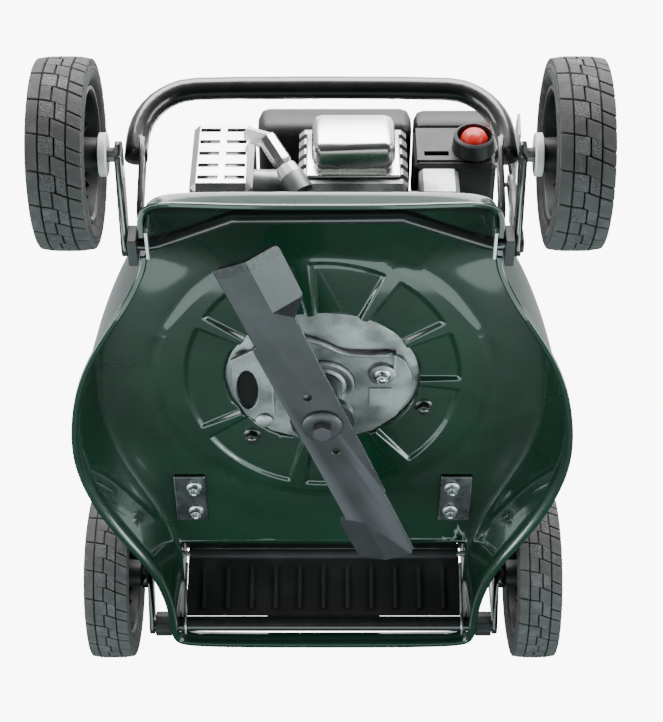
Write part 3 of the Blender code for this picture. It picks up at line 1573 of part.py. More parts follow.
def make_bail(upper, handle_end, upper_side):
    """A wire bail that stands off the grip and is squeezed against it."""
    hinge = handle_end - BAIL_ARM
    inside = upper_side - HANDLE_TUBE
    rise = Vector((0, math.cos(HANDLE_ANGLE + BAIL_REST), math.sin(HANDLE_ANGLE + BAIL_REST)))
    pin = handle_spot(inside + 0.007, hinge)
    turn_in = handle_spot(inside - 0.016, hinge)
    top = turn_in + rise * BAIL_ARM
    path = [pin, turn_in, top]
    other = [Vector((-point.x, point.y, point.z)) for point in reversed(path)]
    for name, sign in sides():
        at = handle_spot(sign * (inside - 0.003), hinge)
        hole = drum(f"bail_hole_{name}", at, (sign, 0, 0), BAIL_RADIUS + 2 * GAP, 0.0108, sides=10)
        cut(upper, hole)
    bail = settle(tube("operator_bail", bent(path + other, 0.010, 2), BAIL_RADIUS, "black_paint", 1))
    swing = axis_empty("bail_axis", handle_spot(0, hinge))
    hang(swing, bail)
    return swing


def make_door():
    """Ribbed flap that hangs on a rod across the rear tunnel."""
    hinge = spot(0, -DOOR_HINGE_BACK, DOOR_HINGE_UP)
    half = DOOR_HALF_WIDTH

    def piece(name, low, high):
        size = [b - a for a, b in zip(low, high)]
        centre = Vector([(a + b) / 2 for a, b in zip(low, high)])
        mesh = bpy.data.meshes.new(name)
        work = bmesh.new()
        bmesh.ops.create_cube(work, size=1.0, matrix=Matrix.Translation(centre) @ Matrix.Diagonal((*size, 1.0)))
        work.to_mesh(mesh)
        work.free()
        return add(name, mesh)

    door = piece("rear_door", (-half, 0.0, -DOOR_DROP), (half, DOOR_THICK, DOOR_LIP))
    door.data.materials.append(finish("black_plastic"))
    knuckle = drum("door_knuckle", (-half, 0.0, 0.0), (1, 0, 0), 0.0062, 2 * half, sides=12)
    ribs = bmesh.new()
    for i in range(-5, 6):
        rib_low = -DOOR_DROP + 0.006
        rib_high = -0.016
        shape = Matrix.Diagonal((0.0035, 0.005, rib_high - rib_low, 1.0))
        centre = Matrix.Translation((i * DOOR_RIB_PITCH, -0.0015, (rib_low + rib_high) / 2))
        bmesh.ops.create_cube(ribs, size=1.0, matrix=centre @ shape)
    mesh = bpy.data.meshes.new("door_ribs")
    ribs.to_mesh(mesh)
    ribs.free()
    rib_tool = add("door_ribs", mesh)
    pull = piece("door_pull", (-0.060, 0.001, -DOOR_DROP + 0.0003), (0.060, 0.014, -DOOR_DROP + 0.0033))
    bore = drum("door_bore", (-half - 0.01, 0.0, 0.0), (1, 0, 0), DOOR_ROD_RADIUS + 0.0004, 2 * half + 0.02, sides=12)
    swing = axis_empty("door_axis", hinge)
    tilt = Matrix.Translation(hinge) @ Matrix.Rotation(DOOR_TILT, 4, "X")
    bpy.context.view_layer.update()
    skirt_half = DOOR_SKIRT_HALF_WIDTH
    skirt = piece("door_skirt", (-skirt_half, 0.0, -DOOR_DROP), (skirt_half, DOOR_THICK, -DOOR_SKIRT_TOP))
    for obj in (door, skirt, knuckle, rib_tool, pull, bore):
        obj.matrix_world = tilt @ obj.matrix_world
    fuse(door, skirt, knuckle, rib_tool, pull)
    cut(door, bore)
    hang(swing, door)
    end = BODY_POINTS[16][0] + 0.003
    drum(
        "door_rod",
        spot(-end, -DOOR_HINGE_BACK, DOOR_HINGE_UP),
        (1, 0, 0),
        DOOR_ROD_RADIUS,
        2 * end,
        "zinc",
        sides=12,
    )


def make_axle_clips():
    """Bent wires that run from the ears down and round the rear shaft."""
    wire = 0.0015
    wrap = REAR_SHAFT_RADIUS + wire + 0.0015
    for name, sign in sides():
        side = sign * (BODY_POINTS[16][0] - SHEET - 2 * wire - 0.002)
        path = [spot(side, -0.286, 0.116), spot(side, -0.300, 0.078)]
        for i in range(6):
            angle = math.radians(40 - 30 * i)
            path.append(
                spot(side, -REAR_SHAFT_BACK + wrap * math.cos(angle), REAR_SHAFT_UP + wrap * math.sin(angle))
            )
        tube(f"axle_clip_{name}", path, wire, "zinc", 0)


def own_materials():
    """Give every piece a material of its own, named after the piece."""
    for piece in collection("lawn_mower").objects:
        if piece.type == "EMPTY":
            continue
        own = piece.data.materials[0].copy()
        own.name = f"{piece.name}_finish"
        piece.data.materials.clear()
        piece.data.materials.append(own)


def main():
    clear_scene()
    make_deck()
    make_bumper()
    make_front_bearings()
    make_rear_bearings()
    front_axle = make_front_axle()
    lever = make_height_lever()
    rear_axle = make_rear_axle()
    link = make_link()
    make_wheels()
    front_pivot = axis_empty("front_axle_pivot", spot(0, FRONT_SHAFT_FORWARD, FRONT_SHAFT_UP))
    rear_pivot = axis_empty("rear_axle_pivot", spot(0, -REAR_SHAFT_BACK, REAR_SHAFT_UP))
    link_pivot = axis_empty("link_pivot", spot(FRONT_ARM_SIDE, FRONT_SHAFT_FORWARD, FRONT_SHAFT_UP + FRONT_LUG))
    hang(link_pivot, link)
    hang(front_pivot, front_axle, lever, link_pivot)
    hang(rear_pivot, rear_axle)
    for name, _ in sides():
        for end, pivot in (("front", front_pivot), ("rear", rear_pivot)):
            hang(pivot, bpy.data.objects[f"{end}_wheel_{name}"])
    make_drive()
    make_engine_block()
    make_head()
    make_muffler()
    make_spark_plug()
    make_shroud()
    make_tank()
    make_intake()
    make_brackets()
    make_handle()
    make_door()
    make_axle_clips()
    own_materials()


main()
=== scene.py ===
"""Finishes and fine pieces of a petrol lawn mower, with its floor, light and camera.

Metres, +Z up, the mower stands on its wheels at z = 0 with its nose towards -Y and its left side at +X.
A place is written as (x, forward, up), measured from the blade's axis and the ground.
"""

import json
import math
from contextlib import contextmanager

import bmesh
import bpy
from bpy.props import FloatProperty, FloatVectorProperty, IntProperty, PointerProperty
from mathutils import Matrix, Vector

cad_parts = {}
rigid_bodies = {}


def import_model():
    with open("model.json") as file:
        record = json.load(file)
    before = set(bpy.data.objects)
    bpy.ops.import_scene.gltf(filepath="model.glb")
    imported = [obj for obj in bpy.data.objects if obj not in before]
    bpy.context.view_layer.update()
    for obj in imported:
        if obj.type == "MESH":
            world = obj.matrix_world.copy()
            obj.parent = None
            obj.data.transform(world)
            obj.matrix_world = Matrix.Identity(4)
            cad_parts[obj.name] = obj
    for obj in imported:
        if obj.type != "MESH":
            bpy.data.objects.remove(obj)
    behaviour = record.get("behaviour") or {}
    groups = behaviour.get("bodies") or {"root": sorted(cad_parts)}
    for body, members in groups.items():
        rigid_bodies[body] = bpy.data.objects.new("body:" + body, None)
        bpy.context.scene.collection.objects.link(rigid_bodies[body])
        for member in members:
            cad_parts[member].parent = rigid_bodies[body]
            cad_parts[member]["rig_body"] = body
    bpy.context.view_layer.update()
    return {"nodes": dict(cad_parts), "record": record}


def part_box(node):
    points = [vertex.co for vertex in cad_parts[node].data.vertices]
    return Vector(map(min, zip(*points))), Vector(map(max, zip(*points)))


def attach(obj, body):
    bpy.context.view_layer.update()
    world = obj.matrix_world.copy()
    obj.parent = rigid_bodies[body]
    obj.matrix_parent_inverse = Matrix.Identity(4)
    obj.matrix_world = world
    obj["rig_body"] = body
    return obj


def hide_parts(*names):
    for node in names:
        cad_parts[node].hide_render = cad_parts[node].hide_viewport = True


bl_info = {
    "name": "Petrol Lawn Mower",
    "version": (1, 0, 0),
    "blender": (4, 5, 0),
    "location": "View3D > Sidebar > Mower",
    "description": "Adds the finishes and fine pieces of a petrol lawn mower",
    "category": "Add Mesh",
}

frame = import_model()
NODES = frame["nodes"]
BODY_OF = {name: node["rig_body"] for name, node in NODES.items()}
SLOT_OF = {row["node"]: row["material_slot"] for row in frame["record"]["subparts"]}


def middle(node):
    """The middle of a frame node's box."""
    low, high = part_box(node)
    return (low + high) / 2


BLADE_AXIS_Y = middle("blade_bolt").y
BLADE_TURN = math.radians(20)
BLADE_WING_START = 0.135
SCUFF_START, SCUFF_END = 0.1965, 0.1995
DOOR_TILT = math.radians(20)
SUMP_UP = 0.109
DOWN = (0, 0, -1)
SIDES = ("left", "right")

# The pad pressed into the roof, an oval of petals with valleys between them
ROOF_UP = 0.110
SHEET = 0.002
PAD_HALF_WIDTH = 0.131
PAD_HALF_LENGTH = 0.150
PAD_REACH = 0.1585
PAD_RISE = 0.004
PAD_STEP = 0.0045
PETAL_START = 0.085
PETAL_FALL = 0.055
PETAL_END_SHARE = 0.45
VALLEYS = [math.radians(turn) for turn in (-148, -100, -56, -2, 31, 64, 97, 146)]
VALLEY_HALF_WIDTH = 0.0020
VALLEY_FLARE = 0.075


def spot(x, forward, up):
    """World position of a place given from the blade's axis and the ground."""
    return Vector((x, BLADE_AXIS_Y - forward, up))


# Sizes and colours that a user would change


def colour(name, description, value):
    return FloatVectorProperty(
        name=name, description=description, default=value, subtype="COLOR", size=3, min=0.0, max=1.0
    )


def length(name, description, value):
    return FloatProperty(
        name=name, description=description, default=value, min=0.0, unit="LENGTH", precision=4
    )


def level(name, description, value):
    return FloatProperty(name=name, description=description, default=value, min=0.0)


class MowerColours(bpy.types.PropertyGroup):
    """Colours of the mower's finishes"""

    enamel: colour("Enamel", "Gloss paint on the deck", (0.0016, 0.024, 0.0115))
    lacquer: colour("Lacquer", "Satin black paint on tubes and axles", (0.006, 0.006, 0.0066))
    plastic: colour("Plastic", "Moulded black plastic", (0.013, 0.013, 0.014))
    rubber: colour("Rubber", "Tyres", (0.042, 0.042, 0.043))
    zinc: colour("Zinc", "Plated steel", (0.61, 0.625, 0.65))
    casting: colour("Casting", "Cast aluminium", (0.4, 0.405, 0.415))
    steel: colour("Steel", "Bright pressed steel", (0.74, 0.735, 0.72))
    blade: colour("Blade", "Dark paint on the blade", (0.03, 0.029, 0.034))
    plate: colour("Plate", "Pale painted plate", (0.56, 0.57, 0.58))
    nylon: colour("Nylon", "Wheel collars", (0.74, 0.75, 0.74))
    red: colour("Red", "Primer bulb and dipstick", (0.52, 0.016, 0.01))
    ceramic: colour("Ceramic", "Spark plug insulator", (0.83, 0.83, 0.8))


class WheelSizes(bpy.types.PropertyGroup):
    """Sizes of the tyres and hubs"""

    front_radius: length("Front radius", "Radius of a front tyre", 0.0785)
    rear_radius: length("Rear radius", "Radius of a rear tyre", 0.0885)
    width: length("Width", "Width of a tyre", 0.047)
    rubber: length("Rubber", "Height of the rubber over the rim", 0.0235)
    groove: length("Groove", "Depth of the tread grooves", 0.0034)
    gap: length("Gap", "Width of the grooves", 0.0013)
    pitches: IntProperty(name="Pitches", description="Tread blocks round a front tyre", default=17, min=6)
    ribs: IntProperty(name="Ribs", description="Ribs round a hub", default=24, min=4)


class StageLook(bpy.types.PropertyGroup):
    """Camera, floor and light"""

    lens: FloatProperty(name="Lens", description="Focal length", default=81.8, unit="CAMERA")
    distance: length("Distance", "From the camera to the point it aims at", 1.470)
    aim_side: length("Aim side", "How far left of the blade's axis the camera aims", 0.0085)
    aim_up: length("Aim up", "How far up and forward of the blade's axis the camera aims", 0.0675)
    tilt: FloatProperty(
        name="Tilt",
        description="How far the camera looks up from straight down",
        default=math.radians(135),
        subtype="ANGLE",
    )
    floor_colour: colour("Floor", "Pale floor", (0.80, 0.81, 0.83))
    backdrop: level("Backdrop", "Brightness of the backdrop", 9.0)
    ambient: level("Ambient", "Light from the white walls", 0.85)
    dark_side: level("Dark side", "Light from behind the camera", 0.10)
    dark_floor: level("Dark floor", "Share of the light that comes from below the picture", 0.08)


# Shader maths


class Wire:
    """A shader socket that takes part in sums."""

    def __init__(self, web, socket):
        self.web = web
        self.socket = socket

    def sum(self, operation, first, second):
        return self.web.node("ShaderNodeMath", {"operation": operation}, {0: first, 1: second})

    def __add__(self, other):
        return self.sum("ADD", self, other)

    def __sub__(self, other):
        return self.sum("SUBTRACT", self, other)

    def __mul__(self, other):
        return self.sum("MULTIPLY", self, other)

    __radd__ = __add__
    __rmul__ = __mul__


class Web:
    """The nodes of one material or of the world."""

    def __init__(self, tree):
        self.tree = tree

    def node(self, kind, settings=None, sockets=None, output=0):
        """Add a node: its own settings first, then the values or links of its sockets."""
        node = self.tree.nodes.new(kind)
        for name, value in (settings or {}).items():
            setattr(node, name, value)
        for key, value in (sockets or {}).items():
            self.feed(node.inputs[key], value)
        return Wire(self, node.outputs[output])

    def feed(self, socket, value):
        if isinstance(value, Wire):
            self.tree.links.new(value.socket, socket)
        else:
            socket.default_value = value

    def mask(self, value, low, high, start=0.0, end=1.0):
        """One level below low and another above high, eased between."""
        sockets = {"Value": value, "From Min": low, "From Max": high, "To Min": start, "To Max": end}
        return self.node("ShaderNodeMapRange", {"interpolation_type": "SMOOTHSTEP"}, sockets)

    def show(self, ender, factor, first, second):
        """Let a factor choose between two shaders, and show the result."""
        mixed = self.node("ShaderNodeMixShader", None, {0: factor, 1: first, 2: second})
        self.feed(self.tree.nodes[ender].inputs["Surface"], mixed)


class Finish(Web):
    """A material under construction round one Principled shader."""

    def __init__(self, name, fixed):
        self.material = bpy.data.materials.new(name)
        self.material.use_nodes = True
        super().__init__(self.material.node_tree)
        self.shader = self.tree.nodes["Principled BSDF"]
        for socket, value in fixed.items():
            self.shader.inputs[socket].default_value = value
        self.place = self.node("ShaderNodeTexCoord", output="Object")

    def axis(self, letter):
        """One of the object's coordinates."""
        return self.node("ShaderNodeSeparateXYZ", None, {"Vector": self.place}, output="XYZ".index(letter))

    def noise(self, scale, detail=3.0, place=None):
        sockets = {"Vector": place or self.place, "Scale": scale, "Detail": detail}
        return self.node("ShaderNodeTexNoise", None, sockets)

    def clouds(self, scale, detail, low, high):
        """Soft-edged patches."""
        return self.mask(self.noise(scale, detail), low, high)

    def stretched(self, scale, turn=0.0):
        """Object coordinates turned about Z and stretched along the axes."""
        turned_place = self.node("ShaderNodeMapping", None, {"Vector": self.place, "Rotation": (0, 0, turn)})
        return self.node("ShaderNodeMapping", None, {"Vector": turned_place, "Scale": scale})

    def blend(self, factor, first, second):
        """One colour turning into another."""
        return self.node("ShaderNodeMix", {"data_type": "RGBA"}, {0: factor, 6: first, 7: second}, output=2)

    def tint(self, value):
        self.feed(self.shader.inputs["Base Color"], value)

    def roughness(self, value):
        self.feed(self.shader.inputs["Roughness"], value)

    def relief(self, height, distance, strength):
        sockets = {"Height": height, "Distance": distance, "Strength": strength}
        self.feed(self.shader.inputs["Normal"], self.node("ShaderNodeBump", None, sockets))

    def edges(self):
        """1 along raised edges and 0 elsewhere."""
        sharp = self.node("ShaderNodeNewGeometry", output="Pointiness")
        return self.mask(sharp, 0.52, 0.62)


def shade(value, share):
    """A colour made lighter or darker, with its alpha."""
    return (*[min(channel * share, 1.0) for channel in value], 1.0)


# Finishes


def coat(weight, roughness):
    return {"Coat Weight": weight, "Coat Roughness": roughness}


def glow(weight):
    return {"Subsurface Weight": weight, "Subsurface Scale": 0.002}


METAL = {"Metallic": 1.0}


def worn_and_highlit(name, fixed, tone, shades, clouds, gloss, grain=None, edge=None, cover=1.0):
    """A finish in two shades of one colour, lighter on its raised edges: a painted highlight, with some
    rubbing.

    clouds: scale, detail and limits of the patches in the second shade; cover: how strong they are.
    gloss: roughness, how much more it can be, and the scale and detail of that change.
    grain: scale and detail of the relief, its height and strength. edge: how strong the painted edge
    highlight and rubbing are, and to which shade.
    """
    finish = Finish(name, fixed)
    patches = finish.clouds(*clouds) * cover
    colours = finish.blend(patches, shade(tone, shades[0]), shade(tone, shades[1]))
    # Painted highlight: raised edges turn lighter as if they caught the light, with some rubbing
    if edge:
        colours = finish.blend(finish.edges() * edge[0], colours, shade(tone, edge[1]))
    finish.tint(colours)
    finish.roughness(gloss[0] + finish.noise(*gloss[2:]) * gloss[1])
    if grain:
        finish.relief(finish.noise(*grain[:2]), *grain[2:])
    return finish


def plain_finishes(look):
    """The finishes that differ only in their numbers, by the record's material slots."""
    return {
        # Deep green paint under a clear gloss, slightly uneven as on pressed sheet
        "deck_green": worn_and_highlit(
            "gloss_enamel", coat(1.0, 0.045), look.enamel, (0.85, 1.18),
            (14.0, 4.0, 0.35, 0.70), (0.24, 0.10, 60.0), (18.0, 1.0, 0.0004, 0.25),
        ),
        # Black stoved paint on tubes and axles
        "black_paint": worn_and_highlit(
            "satin_lacquer", coat(0.9, 0.07), look.lacquer, (0.9, 1.9),
            (35.0, 5.0, 0.45, 0.75), (0.26, 0.16, 90.0), (900.0, 2.0, 0.00010, 0.35), (0.4, 5.0),
        ),
        # Black plastic with a fine spark-eroded grain
        "black_plastic": worn_and_highlit(
            "moulded_plastic", {"Specular IOR Level": 0.45}, look.plastic, (0.85, 1.7),
            (28.0, 5.0, 0.42, 0.78), (0.40, 0.16, 70.0), (1900.0, 2.0, 0.00012, 0.5), (0.35, 4.0),
        ),
        # Plated steel with a faint bloom
        "zinc": worn_and_highlit(
            "zinc_plating", METAL, look.zinc, (0.78, 1.05),
            (45.0, 4.0, 0.38, 0.68), (0.22, 0.22, 130.0, 4.0), (700.0, 3.0, 0.00008, 0.4), (0.5, 1.25),
        ),
        # Painted shade: the zinc colour darkened for the straps that lie in shade under the roof
        "painted_shade_zinc": worn_and_highlit(
            "painted_shade_zinc", METAL, look.zinc, (0.20, 0.36),
            (60.0, 4.0, 0.35, 0.70), (0.20, 0.20, 140.0, 4.0), (600.0, 3.0, 0.00008, 0.4), (0.6, 0.9),
        ),
        # Pale painted plate, a little soiled
        "grey_plate": worn_and_highlit(
            "pale_plate", {"Coat Weight": 0.2}, look.plate, (1.0, 0.70),
            (40.0, 5.0, 0.50, 0.80), (0.34, 0.16, 120.0), (800.0, 2.0, 0.00008, 0.3), cover=0.6,
        ),
        # Off-white nylon with a soft glow
        "nylon": worn_and_highlit(
            "milky_nylon", glow(0.2), look.nylon, (1.0, 0.72),
            (90.0, 4.0, 0.55, 0.80), (0.32, 0.12, 200.0), cover=0.5,
        ),
        # White glaze on the plug's insulator
        "white_ceramic": worn_and_highlit(
            "glazed_ceramic", coat(0.8, 0.04), look.ceramic, (1.0, 0.75),
            (120.0, 4.0, 0.50, 0.80), (0.16, 0.08, 200.0), cover=0.4,
        ),
        # Red rubber of the primer bulb and the dipstick's cap
        "red_rubber": worn_and_highlit(
            "soft_red", glow(0.08), look.red, (0.85, 1.2),
            (160.0, 4.0, 0.40, 0.75), (0.30, 0.14, 300.0), (1500.0, 2.0, 0.00006, 0.4),
        ),
    }


def cast_alloy(look):
    """Sand-grained casting, darker in random patches, with a painted highlight on its raised edges."""
    finish = worn_and_highlit(
        "cast_alloy", {"Metallic": 0.92}, look.casting, (0.40, 1.0),
        (30.0, 6.0, 0.36, 0.70), (0.36, 0.26, 210.0, 4.0), edge=(0.6, 1.35),
    )
    finish.relief(finish.noise(520.0, 4.0) + finish.noise(1500.0, 2.0) * 0.5, 0.00035, 0.55)
    return finish


def tyre_rubber(look):
    """Grey rubber with random pale scuffs, lighter along its raised block edges: a painted highlight, with
    some scuffing.
    """
    finish = Finish("tyre_rubber", {"Specular IOR Level": 0.35})
    scuffs = finish.clouds(120.0, 6.0, 0.52, 0.68)
    clouds = finish.clouds(22.0, 3.0, 0.35, 0.70)
    tone = finish.blend(clouds, shade(look.rubber, 0.80), shade(look.rubber, 1.25))
    scuffed = finish.blend(scuffs * 0.5, tone, shade(look.rubber, 2.1))
    # Painted highlight: raised block edges lighter, with some scuffing
    finish.tint(finish.blend(finish.edges() * 0.4, scuffed, shade(look.rubber, 2.2)))
    finish.roughness(0.62 + finish.noise(160.0) * 0.25)
    pits = finish.clouds(750.0, 1.0, 0.50, 0.62)
    finish.relief(pits * 0.5 + finish.noise(260.0), 0.00035, 0.55)
    return finish


def stippled_rubber(look):
    """The rough patches moulded into some tread blocks, rubbed pale."""
    finish = Finish("stippled_rubber", {"Specular IOR Level": 0.4})
    grain = finish.clouds(900.0, 2.0, 0.42, 0.62)
    clouds = finish.clouds(70.0, 4.0, 0.40, 0.70)
    tone = finish.blend(grain, shade(look.rubber, 0.8), shade(look.rubber, 2.0))
    finish.tint(finish.blend(clouds * 0.6, tone, shade(look.rubber, 2.8)))
    finish.roughness(0.50 + finish.noise(160.0) * 0.25)
    finish.relief(grain, 0.0006, 0.8)
    return finish


def pressed_steel(look):
    """Bright sheet steel with faint drawing marks."""
    finish = Finish("pressed_steel", METAL)
    marks = finish.noise(1.0, 4.0, finish.stretched((40.0, 40.0, 700.0)))
    haze = finish.clouds(26.0, 4.0, 0.38, 0.72)
    finish.tint(finish.blend(haze, shade(look.steel, 0.86), shade(look.steel, 1.06)))
    finish.roughness(0.16 + marks * 0.14 + haze * 0.06)
    finish.relief(marks, 0.00006, 0.3)
    return finish


def blade_paint(look):
    """Dark metallic paint with long faint marks down the blade and a scuffed strip at its end."""
    finish = Finish("blade_paint", {"Metallic": 0.2, **coat(0.25, 0.25)})
    streaks = finish.noise(1.0, 4.0, finish.stretched((900.0, 16.0, 900.0), BLADE_TURN))
    haze = finish.clouds(18.0, 4.0, 0.36, 0.72)
    tone = finish.blend(haze, shade(look.blade, 0.72), shade(look.blade, 1.22))
    marked = finish.blend(finish.mask(streaks, 0.55, 0.75) * 0.35, tone, shade(look.blade, 1.9))
    forward = finish.axis("Y") - BLADE_AXIS_Y
    along = finish.axis("X") * -math.sin(BLADE_TURN) - forward * math.cos(BLADE_TURN)
    rubbed = finish.mask(along, SCUFF_START, SCUFF_END) * finish.clouds(260.0, 5.0, 0.42, 0.58)
    scuffed = finish.blend(rubbed, marked, shade(look.blade, 0.16))
    # Painted highlight: raised edges lighter, with some rubbing
    finish.tint(finish.blend(finish.edges() * 0.6, scuffed, shade(look.blade, 3.4)))
    finish.roughness(0.34 + streaks * 0.16)
    finish.relief(streaks + finish.noise(600.0, 2.0) * 0.6, 0.00009, 0.5)
    return finish


def ground_edge(look):
    """Bare steel left by the grinding wheel, scratched across the edge."""
    finish = Finish("ground_edge", METAL)
    scratches = finish.noise(1.0, 3.0, finish.stretched((60.0, 1500.0, 60.0), BLADE_TURN))
    finish.tint(finish.blend(scratches, shade(look.steel, 0.45), shade(look.steel, 0.95)))
    finish.roughness(0.24 + scratches * 0.22)
    finish.relief(scratches, 0.00008, 0.6)
    return finish


def painted_hollow_shade(look):
    """Painted shade: near-black for the inside of an outlet or a bolt hole, where a hollow lies in shade."""
    finish = Finish("painted_hollow_shade", {"Specular IOR Level": 0.2})
    finish.tint(finish.blend(finish.noise(90.0), shade(look.plastic, 0.25), shade(look.plastic, 0.7)))
    finish.roughness(0.75 + finish.noise(200.0) * 0.15)
    return finish


FINISHES = {}


def finish_for(slot):
    """The scene's finish for one of the record's material slots."""
    if not FINISHES:
        look = bpy.context.scene.mower_colours
        FINISHES.update(
            plain_finishes(look),
            cast_aluminium=cast_alloy(look),
            bright_steel=pressed_steel(look),
            blade_paint=blade_paint(look),
            ground_edge=ground_edge(look),
            rubber=tyre_rubber(look),
            tyre_stipple=stippled_rubber(look),
            recess=painted_hollow_shade(look),
        )
    return FINISHES[slot].material


# Modelling helpers


def only(*pieces):
    """Select these pieces and nothing else, the first one active."""
    bpy.ops.object.select_all(action="DESELECT")
    for piece in pieces:
        piece.select_set(True)
    bpy.context.view_layer.objects.active = pieces[0]


def named(name):
    """The new primitive under its own name."""
    piece = bpy.context.object
    piece.name = name
    piece.data.name = name
    return piece


@contextmanager
def editing(piece):
    """Edit mode on one piece, with nothing selected to begin with."""
    only(piece)
    bpy.ops.object.mode_set(mode="EDIT")
    bpy.ops.mesh.select_mode(type="FACE")
    bpy.ops.mesh.select_all(action="DESELECT")
    yield bmesh.from_edit_mesh(piece.data)
    bpy.ops.object.mode_set(mode="OBJECT")


def applied(piece):
    """Keep the piece's place and turn in its mesh."""
    only(piece)
    bpy.ops.object.transform_apply(location=True, rotation=True, scale=True)
    return piece


def settle(piece, at, towards=(0, 0, 1), roll=0.0):
    """Turn the piece's Z along a direction and move it to its place."""
    piece.rotation_euler = Vector(towards).to_track_quat("Z", "Y").to_euler()
    piece.rotation_euler.rotate_axis("Z", math.pi + roll)
    piece.location = at
    return applied(piece)


def smoothed(piece, degrees):
    only(piece)
    bpy.ops.object.shade_smooth_by_angle(angle=math.radians(degrees))
    return piece


def apply(piece, modifier):
    only(piece)
    bpy.ops.object.modifier_apply(modifier=modifier.name)


def bevelled(piece, width, segments, degrees):
    bevel = piece.modifiers.new("edges", "BEVEL")
    bevel.width = width
    bevel.segments = segments
    bevel.limit_method = "ANGLE"
    bevel.angle_limit = math.radians(degrees)
    apply(piece, bevel)


def weighted(piece):
    """Let the large faces rule the shading."""
    weigh = piece.modifiers.new("normals", "WEIGHTED_NORMAL")
    weigh.keep_sharp = True
    apply(piece, weigh)
    return piece


def rounded(piece, width, segments=2, degrees=32):
    """Round the sharp edges and shade what is left smooth."""
    bevelled(piece, width, segments, degrees)
    return weighted(smoothed(piece, degrees))


def close_outwards():
    """Join what touches in the edited mesh and turn its faces outwards."""
    bpy.ops.mesh.select_all(action="SELECT")
    bpy.ops.mesh.remove_doubles(threshold=1e-5)
    bpy.ops.mesh.normals_make_consistent(inside=False)


def turned(name, profile, steps, ring=False):
    """A form turned about Z from (radius, along) corners; a ring's profile closes on itself."""
    bpy.ops.object.select_all(action="DESELECT")
    bpy.ops.mesh.primitive_circle_add(vertices=len(profile))
    piece = named(name)
    for corner, (radius, along) in zip(piece.data.vertices, profile):
        corner.co = (radius, 0.0, along)
    last = len(profile) - 1
    with editing(piece) as cage:
        if not ring:
            closing = [edge for edge in cage.edges if {vert.index for vert in edge.verts} == {0, last}]
            bmesh.ops.delete(cage, geom=closing, context="EDGES")
            bmesh.update_edit_mesh(piece.data)
        bpy.ops.mesh.select_mode(type="VERT")
        bpy.ops.mesh.select_all(action="SELECT")
        bpy.ops.mesh.spin(steps=steps, angle=2 * math.pi, center=(0, 0, 0), axis=(0, 0, 1))
        close_outwards()
    return piece


def bar(name, low, high):
    """A straight-edged bar between two corners."""
    low, high = Vector(low), Vector(high)
    bpy.ops.object.select_all(action="DESELECT")
    bpy.ops.mesh.primitive_cube_add(size=1.0, location=(low + high) / 2, scale=high - low)
    return applied(named(name))


def plate(name, outline, low, high):
    """A flat plate from (x, forward) corners."""
    bpy.ops.object.select_all(action="DESELECT")
    bpy.ops.mesh.primitive_circle_add(vertices=len(outline), fill_type="NGON")
    piece = named(name)
    for corner, (x, forward) in zip(piece.data.vertices, outline):
        corner.co = spot(x, forward, low)
    with editing(piece):
        bpy.ops.mesh.select_all(action="SELECT")
        bpy.ops.mesh.extrude_region_move(TRANSFORM_OT_translate={"value": (0, 0, high - low)})
        close_outwards()
    return piece


def oval(name, at, radii, low, high, sides=40):
    """An upright plate with an oval outline."""
    turns = [2 * math.pi * count / sides for count in range(sides)]
    outline = [(at[0] + radii[0] * math.cos(turn), at[1] + radii[1] * math.sin(turn)) for turn in turns]
    return plate(name, outline, low, high)


def carve(piece, tool):
    """Cut one piece's form out of another."""
    cutter = piece.modifiers.new("carve", "BOOLEAN")
    cutter.operation = "DIFFERENCE"
    cutter.solver = "EXACT"
    cutter.object = tool
    apply(piece, cutter)
    bpy.data.objects.remove(tool, do_unlink=True)


def drum(name, radius, depth, sides):
    """An upright prism that stands on its origin."""
    bpy.ops.object.select_all(action="DESELECT")
    centre = (0, 0, depth / 2)
    bpy.ops.mesh.primitive_cylinder_add(vertices=sides, radius=radius, depth=depth, location=centre)
    return applied(named(name))


def wire(name, points, radius, rounded_by):
    """A wire through points, bent round them and made a mesh."""
    curve = bpy.data.curves.new(name, "CURVE")
    curve.dimensions = "3D"
    curve.bevel_depth = radius
    curve.bevel_resolution = 3
    curve.use_fill_caps = True
    spline = curve.splines.new("POLY")
    path = bent(points, rounded_by)
    spline.points.add(len(path) - 1)
    for corner, place in zip(spline.points, path):
        corner.co = (*place, 1.0)
    piece = bpy.data.objects.new(name, curve)
    bpy.context.scene.collection.objects.link(piece)
    only(piece)
    bpy.ops.object.convert(target="MESH")
    return smoothed(bpy.context.object, 50)


def bent(path, radius, steps=6):
    """Corners of a path replaced by short arcs."""
    result = [path[0]]
    for before, corner, after in zip(path, path[1:], path[2:]):
        near = corner + (before - corner).normalized() * min(radius, (before - corner).length * 0.45)
        far = corner + (after - corner).normalized() * min(radius, (after - corner).length * 0.45)
        for step in range(steps + 1):
            share = step / steps
            result.append(near.lerp(corner, share).lerp(corner.lerp(far, share), share))
    return [*result, path[-1]]


def joined(name, pieces):
    only(*pieces)
    bpy.ops.object.join()
    return named(name)


def copied(piece, name):
    copy = bpy.data.objects.new(name, piece.data.copy())
    bpy.context.scene.collection.objects.link(copy)
    return copy


def painted(piece, slot):
    piece.data.materials.clear()
    piece.data.materials.append(finish_for(slot))
    return piece


def mounted(piece, node, slot=None, replaces=()):
    """Give a piece its finish and let it ride with the body of a frame node."""
    slot = slot or SLOT_OF[node]
    if not piece.data.materials:
        painted(piece, slot)
    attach(piece, BODY_OF[node])
    if replaces:
        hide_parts(*replaces)
    return piece


